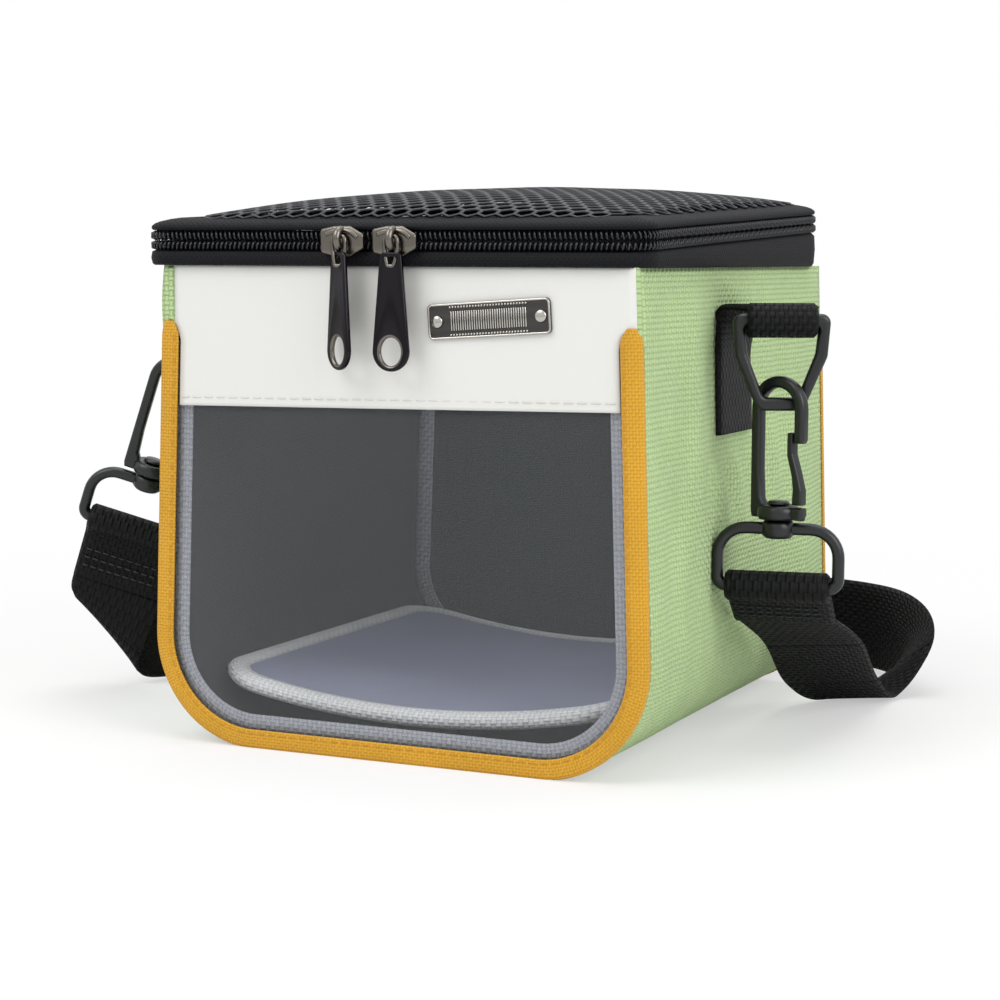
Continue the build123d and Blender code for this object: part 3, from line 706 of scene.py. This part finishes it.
def coilRow(name, side, body, node):
    # one spiral of nylon wire whose crowns show as the zip's teeth, open at the hinge
    path = [(p, n) for p, n in planPath(coil["step"]) if p.y < 58.0 or abs(p.x) > 47]
    start = max(range(len(path)), key=lambda i: (path[i][0] - path[i - 1][0]).length)
    path = path[start:] + path[:start]
    line, travelled = [], 0.0
    for i, (p, n) in enumerate(path):
        if i:
            travelled += (p - path[i - 1][0]).length
        phase = 2 * pi * travelled / coil["turn"]
        out = coil["deep"] * cos(phase) - coil["in"]
        w = side * (coil["middle"] + coil["tall"] * sin(phase))
        line.append(onZip(p.x + n.x * out, p.y + n.y * out, w))
    addWire(name, line, coil["wire"], 5, coilBlack, body, [node])


coilRow("zipCoilLower", -1, "bag", "zip_coil_lower")
coilRow("zipCoilUpper", 1, "lid", "zip_coil_upper")

# lid border: piped edge, then cloth sloping up to the net
borderShape = [(-0.9, 2.45), (-0.1, 2.5), (0.3, 2.9), (0.2, 3.5), (-0.6, 4.1), (-2.0, 4.6),
               (-4.5, 5.1), (-7.0, 5.4), (-7.3, 5.0), (-4.5, 4.4), (-2.0, 3.8), (-1.6, 2.5)]
sweepPlan("lidBorder", borderShape, "lid", "lid_border")

# net of six-sided holes, domed by the cloth's own stiffness

net = {"pitch": 4.6, "strand": 0.8, "thick": 0.5, "edge": 5.5, "corner": 12, "rim": 4.4, "dome": 6.4}


def domeHeight(x, y):
    a = 1 - min(abs(x) / (zipPlane["halfX"] - 4), 1) ** 2.2
    b = 1 - min(abs(y) / (zipPlane["halfY"] - 4), 1) ** 2.2
    sway = 0.35 * noise.noise(Vector((x * 0.04, y * 0.04, 3.0)))
    return net["rim"] + (net["dome"] + sway) * (a * b) ** 0.5


points, faces = [], []
for row in range(-20, 21):
    for column in range(-18, 19):
        cx = (column + (0.5 if row % 2 else 0)) * net["pitch"]
        cy = row * net["pitch"] * 0.866
        overX = max(abs(cx) - (zipPlane["halfX"] - net["edge"] - net["corner"]), 0)
        overY = max(abs(cy) - (zipPlane["halfY"] - net["edge"] - net["corner"]), 0)
        if hypot(overX, overY) > net["corner"]:
            continue
        base = len(points)
        for across in (net["pitch"], net["pitch"] - net["strand"]):
            for x, y in arc(cx, cy, across / sqrt(3), 30, 330, 5):
                points.append(onZip(x, y, domeHeight(x, y)))
        for k in range(6):
            m = (k + 1) % 6
            faces.append((base + k, base + m, base + 6 + m, base + 6 + k))
lidNet = addMesh("lidNet", points, faces, netBlack, "lid", ["lid_mesh"], weld=0.02)
thicken(lidNet, net["thick"])

# cloth hinge along the back
hinge = {"y": 71.1, "halfLong": 46, "halfTall": 3.2, "bend": 2.3, "thick": 0.6}
points, uvs = [], []
for i in range(9):
    w = hinge["halfTall"] * (i / 4 - 1)
    for j in range(25):
        x = hinge["halfLong"] * (j / 12 - 1)
        points.append(onZip(x, hinge["y"] + 0.05 + 0.25 * cos(pi / 2 * w / hinge["halfTall"]), w))
        uvs.append((x, w))
hingeCloth = addMesh("hingeCloth", points, gridFaces(9, 25), clothBlack, None,
                     ["hinge_leaf_lower", "hinge_leaf_upper"], uvs)
thicken(hingeCloth, hinge["thick"])
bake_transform(hingeCloth)
print("collar, zip and lid ready")

# sliders: a shield with a raised ridge, and the bridge that carries the pull

slider = {"wide": 11.4, "tall": 7.0, "front": -71.9, "thick": 1.5, "left": -10.7, "right": 3.0}
half, tall = slider["wide"] / 2, slider["tall"] / 2
narrow = half * 0.35
shield = roundedLoop([(-half, -tall * 0.75), (-narrow, -tall), (narrow, -tall), (half, -tall * 0.45),
                      (half, tall * 0.45), (narrow, tall), (-narrow, tall), (-half, tall * 0.8)],
                     0.9, 4)[::-1]
crown = [(0.0, 2.7), (1.3, 2.5), (2.1, 1.4), (2.2, 0.2), (1.6, -1.0), (0.3, -1.9)]
ridge = [(-4.2, 1.6), (-2.2, 2.3), (0, 2.55), (2.2, 2.2), (4.2, 0.9)]
zipUp = (0, -sin(zipPlane["tilt"]), cos(zipPlane["tilt"]))
for side in ("left", "right"):
    sx, front, body = slider[side], slider["front"], "slider_" + side
    place = planeMatrix(onZip(sx, front - slider["thick"] / 2, 0), (1, 0, 0), zipUp)
    platePiece("sliderPlate." + side, [shield], slider["thick"], 0.55, place, gunmetal, body)
    line = smoothLine([onZip(sx, front - slider["thick"] - out, w) for out, w in crown], 5)
    addWire("sliderBridge." + side, line, 0.95, 10, gunmetal, body)
    line = smoothLine([onZip(sx + dx, front - 1.35, w) for dx, w in ridge], 5)
    addWire("sliderRidge." + side, line, 0.62, 8, gunmetal, body)

# pulls: a stamped tag with two holes, a rim round the lower one in lighter metal as a painted highlight on
# its bevel, and a bail on the bridge; left and right are the degrees that each hangs turned by

pull = {"long": 31.0, "wide": 9.4, "neck": 5.6, "thick": 1.2, "drop": 4.6, "left": -30.0, "right": 0.0}
hub = onZip(0, slider["front"] - 2.65, 1.0)
neck, wide, drop = pull["neck"] / 2, pull["wide"] / 2, pull["drop"]
lowY = drop - pull["long"] + wide
tag = [(-neck + 0.8, 1.2), (-neck, 0.4)] + arc(0, lowY, wide, 180, 360, 28) + [(neck, 0.4), (neck - 0.8, 1.2)]
lowHole = arc(0, lowY - 0.1, 2.95, 360, 0, 28, 1.22)[:-1]
topHole = arc(0, -1.0, 1.5, 360, 0, 16, 0.8)[:-1]
# the bail's bends: across, forward and down from the hub
bail = [(-1.6, 0, 3.2), (-1.7, 0.1, 1.0), (-1.2, 0, -0.1), (0, 0, -0.3), (1.2, 0, -0.1), (1.7, 0.1, 1.0),
        (1.6, 0, 3.2), (0.9, 0.3, drop + 1.6), (0, 0.4, drop + 2.0), (-0.9, 0.3, drop + 1.6)]
for side in ("left", "right"):
    sx, body = slider[side], "pull_" + side
    turn = radians(pull[side])
    xDir = Vector((cos(turn), sin(turn), 0))
    top = Vector((sx, hub.y, hub.z - drop))
    place = planeMatrix(top, xDir, (0, 0, 1))
    loops = [tag, lowHole, topHole]
    platePiece("pullTag." + side, loops, pull["thick"], 0.38, place, blackNickel, body)
    rim = [top + xDir * x + Vector((0, 0, y)) for x, y in arc(0, lowY - 0.1, 3.25, 0, 360, 28, 1.2)[:-1]]
    # the rim is lighter gunmetal on the black nickel tag: a painted highlight on the bevel round the lower
    # hole
    addWire("pullRimPaintedHighlight." + side, rim, 0.62, 8, gunmetal, body, closed=True)
    loop = [(sx + x, hub.y - y, hub.z - z) for x, y, z in bail]
    line = smoothLine(loop + loop[:1], 4)[:-1]
    addWire("pullBail." + side, line, 0.5, 8, gunmetal, body, closed=True)
print("sliders and pulls ready")

# nameplate: bare raised ground with a bead border, plain ribs and two rivets

plate = {"x": 25.9, "y": -69.5, "z": 106.1, "long": 31.0, "tall": 8.3, "thick": 0.8, "turn": radians(3.9),
         "rivet": 13.1}
plateX = Vector((cos(plate["turn"]), 0, sin(plate["turn"])))
plateUp = Vector((-sin(plate["turn"]), 0, cos(plate["turn"])))
plateBack = Vector((plate["x"], plate["y"], plate["z"]))
face = plateBack + outward * plate["thick"]
half, tall = plate["long"] / 2, plate["tall"] / 2
place = planeMatrix(plateBack + outward * plate["thick"] / 2, plateX, plateUp)
holes = [arc(side * plate["rivet"], 0, 1.15, 360, 0, 16)[:-1] for side in (-1, 1)]
loops = [rectangle(0, half, tall, 1.1)[::-1]] + holes
platePiece("nameplatePlate", loops, plate["thick"], 0.25, place, plateGround, "bag",
           "nameplate")
rim = [face + outward * 0.05 + plateX * x + plateUp * y for x, y in rectangle(0, half - 0.3, tall - 0.3, 0.9)]
addWire("nameplateRim", rim, 0.28, 8, brightNickel, "bag", closed=True)

relief = []
for row in (-1, 1):
    for k in range(27):
        centre = face + plateX * (-9.6 + 19.2 * k / 26) + plateUp * row * 3.2
        relief.append(wire([centre + outward * lift for lift in (-0.1, 0.22, 0.38)], 0.27, 8))
for k in range(33):
    centre = face + plateX * (-9.4 + 18.8 * k / 32)
    ribShape = ((-2.3, 0.0), (-2.1, 0.12), (2.1, 0.12), (2.3, 0.0))
    relief.append(wire([centre + plateUp * up + outward * lift for up, lift in ribShape], 0.19, 6))
points, faces = joined(relief)
addMesh("nameplateRelief", points, faces, brightNickel, "bag")

rivets = []
for side in (-1, 1):
    centre = face + plateX * side * plate["rivet"]
    rivetShape = ((1.45, 0.0), (1.5, 0.25), (1.2, 0.5), (0.6, 0.62), (0.05, 0.65))
    rings = [circle(centre + outward * lift, plateX, plateUp, radius, 20) for radius, lift in rivetShape]
    rivets.append(tube(rings))
points, faces = joined(rivets)
addMesh("nameplateRivets", points, faces, brightNickel, "bag", ["nameplate_rivets"])
print("nameplate ready")

# mat: stiff pad bowed up at both sides, with a woven trim

pad = {"halfX": 57.0, "halfY": 60.0, "radius": 14.0, "middle": 8.6, "end": 16.8, "trim": 2.2}


def padHeight(x):
    return pad["middle"] + (pad["end"] - pad["middle"]) * (x / 60) ** 2


def padLoop(shrink):
    # round the mat from above, a point every 4 mm on the straights
    hx, hy, r = (pad[key] - shrink for key in ("halfX", "halfY", "radius"))
    bends = []
    for wayX, wayY, start in ((1, 1, 90), (1, -1, 0), (-1, -1, -90), (-1, 1, -180)):
        bends += [Vector(p) for p in arc(wayX * (hx - r), wayY * (hy - r), r, start, start - 90, 8)]
    loop = []
    for i, p in enumerate(bends):
        q = bends[(i + 1) % len(bends)]
        steps = max(int((q - p).length / 4), 1)
        loop += [p.lerp(q, k / steps) for k in range(steps)]
    return loop


edgeLoop = padLoop(pad["trim"])
levels = [0.1, 0.25, 0.42, 0.58, 0.72, 0.84, 0.92, 0.97, 1.0]
rings, uvs = [], []
for side, order in ((1, levels), (-1, levels[::-1])):
    for level in order:
        ring = []
        for p in edgeLoop:
            x, y = p.x * level, p.y * level
            crown = 1.3 + 0.7 * (1 - level) ** 0.4 + 0.12 * noise.noise(Vector((x * 0.06, y * 0.06, 8.0)))
            ring.append((x, y, padHeight(x) + side * crown))
            uvs.append((x, y))
        rings.append(ring)
points, faces = tube(rings)
matPad = addMesh("matPad", points, faces, matCloth, "bag", ["mat_pad"], uvs)

trimShape = [(-5.6, 1.9), (-2.8, 2.25), (-0.9, 1.7), (0, 0.7)]
trimShape += [(out, -lift) for out, lift in trimShape[::-1]]
outerLoop = padLoop(0.0)
rings = []
for i, p in enumerate(outerLoop):
    run = (outerLoop[(i + 1) % len(outerLoop)] - outerLoop[i - 1]).normalized()
    n = Vector((-run.y, run.x))
    if n.dot(p) < 0:
        n = -n
    ring = []
    for out, lift in trimShape:
        x, y = p.x + n.x * out, p.y + n.y * out
        ring.append((x, y, padHeight(x) + lift))
    rings.append(ring)
addSkin("matTrim", rings, trimGrey, "bag", ["mat_binding"], closed=True)
print("mat ready")

# clip hardware: each clip hangs from its ring's bar, in a frame of its own

clip = {"turn": radians(24.6), "x": 81.0, "y": -23.7, "z": 105.5}
cosTurn, sinTurn = cos(clip["turn"]), sin(clip["turn"])
strap = {"wide": 25.0, "thick": 1.5, "endThick": 1.4, "store": 12.8}
store = strap["store"]
sides = {
    "right": {
        "sign": 1, "lean": 0, "hookTurn": -45.0, "eyeTurn": -14.6,
        "strapRun": Vector((0, 0.84, -0.54)), "cuts": (0, 10, 20, 38),
        "route": [(79.5, 12.0, 22.5), (77.5, 36.0, 8.5), (80.0, 52.0, 1.6), (88.5, 66.0, 8.7),
                  (85.0, 84.0, store), (68.0, 103.0, store), (40.0, 111.0, store)],
        "across": [(0.97, 0.24, 0.05), (0.93, 0.36, 0.05), (0.83, 0.55, 0.02), (0.66, 0.3, 0.66),
                   (0.1, 0.05, 0.99), (0, 0, 1), (0, 0, 1)],
    },
    "left": {
        "sign": -1, "lean": 20, "hookTurn": 45.0, "eyeTurn": 50.0,
        "strapRun": Vector((-0.45, 0.1, -0.9)), "cuts": (0, 14, 30, 52),
        "route": [(-113.6, -20.6, 20.5), (-114.8, -18.2, 15.5), (-112.5, -13.0, 13.6), (-107.0, -4.0, 13.2),
                  (-99.0, 16.0, store), (-90.0, 39.0, store), (-82.0, 60.0, store), (-71.0, 74.0, store),
                  (-56.0, 78.0, store)],
        "across": [(0.68, 0.42, -0.6), (0.5, 0.36, -0.79), (0.28, 0.22, -0.93), (0.1, 0.1, -0.99)]
                  + [(0, 0, -1)] * 5,
    },
}

# ring: straight bar on top, sides closing to a short foot
ringOuter = roundedLoop([(-11.8, 1.6), (11.8, 1.6), (11.0, -8.6), (5.4, -21.5), (-5.4, -21.5), (-11.0, -8.6)],
                        [2.2, 2.2, 3.0, 3.0, 3.0, 3.0])[::-1]
ringInner = roundedLoop([(-8.8, -1.6), (8.8, -1.6), (8.1, -7.9), (4.1, -18.3), (-4.1, -18.3), (-8.1, -7.9)],
                        [0.8, 0.8, 1.6, 1.6, 1.6, 1.6])
# snap hook: spine, round head, short nose and the collar that the eye's pin turns in
hookLoop = ([(-7.4, -47.4), (-7.8, -46.0), (-7.8, -30)] + arc(0, -21, 7.8, 180, 0, 22)
            + [(7.8, -28.2), (7.3, -29.0), (5.4, -29.0), (5.0, -28.4)] + arc(0, -21, 5.0, 0, 180, 18)
            + [(-5.0, -36), (-4.6, -42.6), (-3.8, -44.2), (3.8, -44.2),
               (7.6, -44.3), (7.8, -46.0), (7.2, -47.4)])
collarShape = ((1.95, 44.3), (4.4, 44.1), (5.0, 44.8), (5.1, 46.6), (4.6, 47.4), (1.95, 47.4))
gateLoop = roundedLoop([(4.7, -43.7), (7.4, -43.7), (7.4, -40.2), (6.2, -36.0), (4.7, -31.5), (4.7, -26.5),
                        (3.1, -26.5), (3.1, -32.0), (4.6, -37.0), (4.9, -40.0)], 0.35, 3)
# swivel eye: broad loop, straight below for the webbing, pin with a riveted head
eye = {"drop": 56.8, "half": 8.5, "bar": 1.45}
eyeOuter = rectangle(-eye["drop"], 16, eye["half"], [3.6, 3.6, 8.4, 8.4], 10)[::-1]
eyeInner = rectangle(-eye["drop"], 13.1, eye["half"] - 2.9, [0.9, 0.9, 5.2, 5.2], 8)
pinShape = ((0.02, 43.0), (2.3, 43.1), (2.7, 43.5), (2.7, 43.9), (1.8, 43.95), (1.8, 47.7), (3.3, 47.8),
            (3.9, 48.6), (3.9, 51.2), (3.0, 52.0), (0.02, 52.1))
# webbing loop: (out from the wall, y, z) and width, up to where it leaves for the ring's bar
tabX = shell["halfBase"] - shell["lean"] * 90 + 1.3
tabLine = ((0, -8.0, 77.2), (-0.3, -8.0, 88), (-0.4, -8.2, 98), (1.2, -10.0, 104.0), (5.5, -15.0, 108.2))
tabWidths = [25.0, 25.0, 24.5, 20.0, 15.5]


def turned(x, z, degrees):
    t = radians(degrees)
    return x * cos(t) - z * sin(t), z * cos(t) + x * sin(t)


for side, at in sides.items():
    sign, lean = at["sign"], radians(at["lean"])
    origin = Vector((sign * clip["x"], clip["y"], clip["z"]))
    xDir = Vector((cosTurn * cos(lean), sign * sinTurn, -cosTurn * sin(lean)))
    zDir = Vector((sign * sinTurn * cos(lean), -cosTurn, -sign * sinTurn * sin(lean)))
    up = zDir.cross(xDir)
    ringBody, hookBody, gateBody, eyeBody = (part + side for part in ("d_ring_", "hook_", "gate_", "eye_"))
    place = planeMatrix(origin, xDir, up)
    platePiece("dRing." + side, [ringOuter, ringInner], 3.2, 1.1, place, clipBlack, ringBody)

    hx, hz = turned(xDir, zDir, at["hookTurn"])
    place = planeMatrix(origin, hx, up)
    platePiece("hookBody." + side, [hookLoop[::-1]], 3.0, 0.95, place, clipBlack, hookBody)
    rings = [circle(origin - up * drop, hx, hz, radius, 28) for radius, drop in collarShape]
    points, faces = tube(rings, closed=True)
    addMesh("hookCollar." + side, points, faces, clipBlack, hookBody)
    platePiece("gateSpring." + side, [gateLoop[::-1]], 2.6, 0.45, place, clipBlack, gateBody)

    ex, ez = turned(xDir, zDir, at["eyeTurn"])
    place = planeMatrix(origin, ex, up)
    platePiece("eyeLoop." + side, [eyeOuter, eyeInner], 3.2, 1.25, place, clipBlack, eyeBody)
    points, faces = tube([circle(origin - up * drop, ex, ez, radius, 24) for radius, drop in pinShape])
    addMesh("eyePin." + side, points, faces, clipBlack, eyeBody)

    # webbing loop: sewn to the side, then over and round the ring's bar
    line = [Vector((sign * (tabX + out), y, z)) for out, y, z in tabLine]
    wides = [Vector((0, 1, 0))] * 3 + [Vector((sign * 0.2, 1, 0)), Vector((sign * 0.7, 0.7, 0))]
    widths = list(tabWidths)
    for angle in (55, 95, 135, 180, 225, 270, 310, 345):
        t = radians(angle)
        line.append(origin + (-zDir * cos(t) + up * sin(t)) * 3.4)
        wides.append(xDir * sign)
        widths.append(16.8)
    fineWidths = [v.x for v in smoothLine([(w, 0, 0) for w in widths], 6)]
    rings = ribbonRings(smoothLine(line, 6), smoothLine(wides, 6), fineWidths, strap["thick"])
    addSkin("webbingLoop." + side, rings, webBlack, "bag", ["loop_" + side])

    # strap end: loop round the eye's bar, doubled and sewn
    bar = origin - up * (eye["drop"] + eye["half"] - eye["bar"])
    along = (at["strapRun"] - ex * at["strapRun"].dot(ex)).normalized()
    over = along.cross(ex)
    turns = [radians(35 + 290 * k / 14) for k in range(15)]
    line = [bar + along * d + over * 0.75 for d in (18, 12, 7, 4.2)]
    line += [bar + along * 3.0 * cos(t) + over * 3.0 * sin(t) for t in turns]
    line += [bar + along * d - over * 0.75 for d in (4.2, 7, 12, 18)]
    fine = smoothLine(line, 3)
    rings = ribbonRings(fine, [ex] * len(fine), [strap["wide"]] * len(fine), strap["endThick"])
    addSkin("strapEnd." + side, rings, webBlack, eyeBody, ["strap_end_" + side])
    rows = []
    for d in (9.0, 11.5, 14.0):
        for lift in (1, -1):
            row = [bar + along * d + over * 1.5 * lift + ex * (-11 + 22 * k / 20) for k in range(21)]
            rows.append(stitchRow(row, over * lift, 1.5, 0.8, 0.2))
    points, faces = joined(rows)
    addMesh("strapThread." + side, points, faces, threadBlack, eyeBody)

    # free stretch, cut into three lengths at the three swivels
    fine = smoothLine([bar + along * 18.0] + at["route"], 10)
    wides = smoothLine([ex] + at["across"], 10)
    rings = ribbonRings(fine, wides, [strap["wide"]] * len(fine), strap["thick"])
    for ring in rings:
        for p in ring:
            p.z = max(p.z, 0.15)
    cuts = at["cuts"]
    for i, (bodyA, bodyB) in enumerate([(eyeBody, hookBody), (hookBody, ringBody), (ringBody, "bag")]):
        nodes = ["strap_" + side] if i == 0 else ()
        name = "strapStretch." + side + str(i + 1)
        piece = addSkin(name, rings[cuts[i]:cuts[i + 1] + 1], webBlack, None, nodes)
        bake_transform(piece)
    addSkin("strapTurn." + side, rings[cuts[3]:], webBlack, "bag")

# the length put away behind the bag, standing on edge in runs
stored = {"x": -8.0, "half": 48.0, "y": 78.0, "pitch": 5.5, "runs": 7}
line = []
for run in range(stored["runs"]):
    y = stored["y"] + run * stored["pitch"]
    way = 1 if run % 2 == 0 else -1
    for k in range(13):
        x = stored["x"] + way * stored["half"] * (k / 6 - 1)
        line.append((x, y + 0.4 * noise.noise(Vector((x * 0.05, run * 3.1, 0))), store))
    if run < stored["runs"] - 1:
        half = stored["pitch"] / 2
        for across, back in arc(0, 0, half, -90, 90, 8)[1:-1]:
            line.append((stored["x"] + way * (stored["half"] + across), y + half + back, store))
line = [Vector(p) for p in line]
rings = ribbonRings(line, [Vector((0, 0, 1))] * len(line), [strap["wide"]] * len(line), strap["endThick"])
addSkin("strapStored", rings, webBlack, "bag", ["strap_store"])
print("clips and strap ready")

# floor: paper that glows white for the camera further out, so that it has no horizon

paper = {"half": 12, "grey": 0.86, "near": 0.12, "far": 0.4, "nearGlow": 0.45}
floorMaterial = bpy.data.materials.new("paperFloor")
floorMaterial.use_nodes = True
tree = floorMaterial.node_tree
shader = tree.nodes["Principled BSDF"]
shader.inputs["Base Color"].default_value = (paper["grey"], paper["grey"], paper["grey"], 1)
shader.inputs["Roughness"].default_value = 0.9
glow = addNode(floorMaterial, "Emission", None, {"Color": (1, 1, 1, 1), "Strength": 1.0})
rays = addNode(floorMaterial, "LightPath")
spot = addNode(floorMaterial, "NewGeometry")
away = addNode(floorMaterial, "VectorMath", {"operation": "LENGTH"}, {0: spot.outputs["Position"]})
fade = addNode(floorMaterial, "MapRange", None,
               {0: away.outputs["Value"], 1: paper["near"], 2: paper["far"], 3: paper["nearGlow"], 4: 1.0})
share = addNode(floorMaterial, "Math", {"operation": "MULTIPLY"},
                {0: rays.outputs["Is Camera Ray"], 1: fade.outputs[0]})
mixed = addNode(floorMaterial, "MixShader", None,
                {0: share.outputs[0], 1: shader.outputs[0], 2: glow.outputs[0]})
tree.links.new(mixed.outputs[0], tree.nodes["Material Output"].inputs[0])
floorMesh = bpy.data.meshes.new("floor")
half = paper["half"]
corners = [(-half, -half, 0), (half, -half, 0), (half, half, 0), (-half, half, 0)]
floorMesh.from_pydata(corners, [], [(0, 1, 2, 3)])
floorMesh.materials.append(floorMaterial)
floor = addObject("floor", floorMesh)

# light: the room is half as bright on cloth as it looks to the camera, through film and in metal

world = bpy.data.worlds.new("studio")
scene.world = world
world.use_nodes = True
world.node_tree.nodes.clear()
fill = addNode(world, "Background", None, {"Color": (1, 1, 1, 1), "Strength": 0.5})
white = addNode(world, "Background", None, {"Color": (1, 1, 1, 1), "Strength": 1.0})
rays = addNode(world, "LightPath")
seen = addNode(world, "Math", {"operation": "MAXIMUM"},
               {0: rays.outputs["Is Camera Ray"], 1: rays.outputs["Is Transmission Ray"]})
seen = addNode(world, "Math", {"operation": "MAXIMUM"},
               {0: seen.outputs[0], 1: rays.outputs["Is Glossy Ray"]})
room = addNode(world, "MixShader", None, {0: seen.outputs[0], 1: fill.outputs[0], 2: white.outputs[0]})
addNode(world, "OutputWorld", None, {0: room.outputs[0]})

lamps = [
    {"name": "keyLight", "at": (-0.45, -0.75, 0.95), "size": 0.7, "power": 6.4},
    {"name": "sideLight", "at": (0.95, -0.35, 0.6), "size": 0.7, "power": 5.6},
    {"name": "topLight", "at": (0.0, 0.1, 1.1), "size": 0.8, "power": 4.6},
]
aim = Vector((0, 0, 0.06))
for lamp in lamps:
    light = bpy.data.lights.new(lamp["name"], "AREA")
    light.energy = lamp["power"]
    light.size = lamp["size"]
    obj = addObject(lamp["name"], light)
    obj.location = lamp["at"]
    obj.rotation_euler = (aim - Vector(lamp["at"])).to_track_quat("-Z", "Y").to_euler()

# camera, as fitted to the photograph, in metres and degrees

view = {"at": (0.24392, -0.53881, 0.12075), "azimuth": 24.644, "pitch": 6.2185, "roll": 0.2328, "lens": 81.07}
azimuth, pitch, roll = (radians(view[key]) for key in ("azimuth", "pitch", "roll"))
forward = Vector((-sin(azimuth) * cos(pitch), cos(azimuth) * cos(pitch), -sin(pitch)))
right = Vector((cos(azimuth), sin(azimuth), 0))
upward = right.cross(forward)
camera = bpy.data.cameras.new("camera")
camera.lens = view["lens"]
camera.sensor_width = 36.0
camera.sensor_fit = "HORIZONTAL"
camera.clip_start = 0.01
cameraObject = addObject("camera", camera)
cameraObject.matrix_world = planeMatrix(view["at"], right * cos(roll) + upward * sin(roll),
                                        upward * cos(roll) - right * sin(roll))
scene.camera = cameraObject
scene.view_settings.view_transform = "Standard"
print("stage ready")
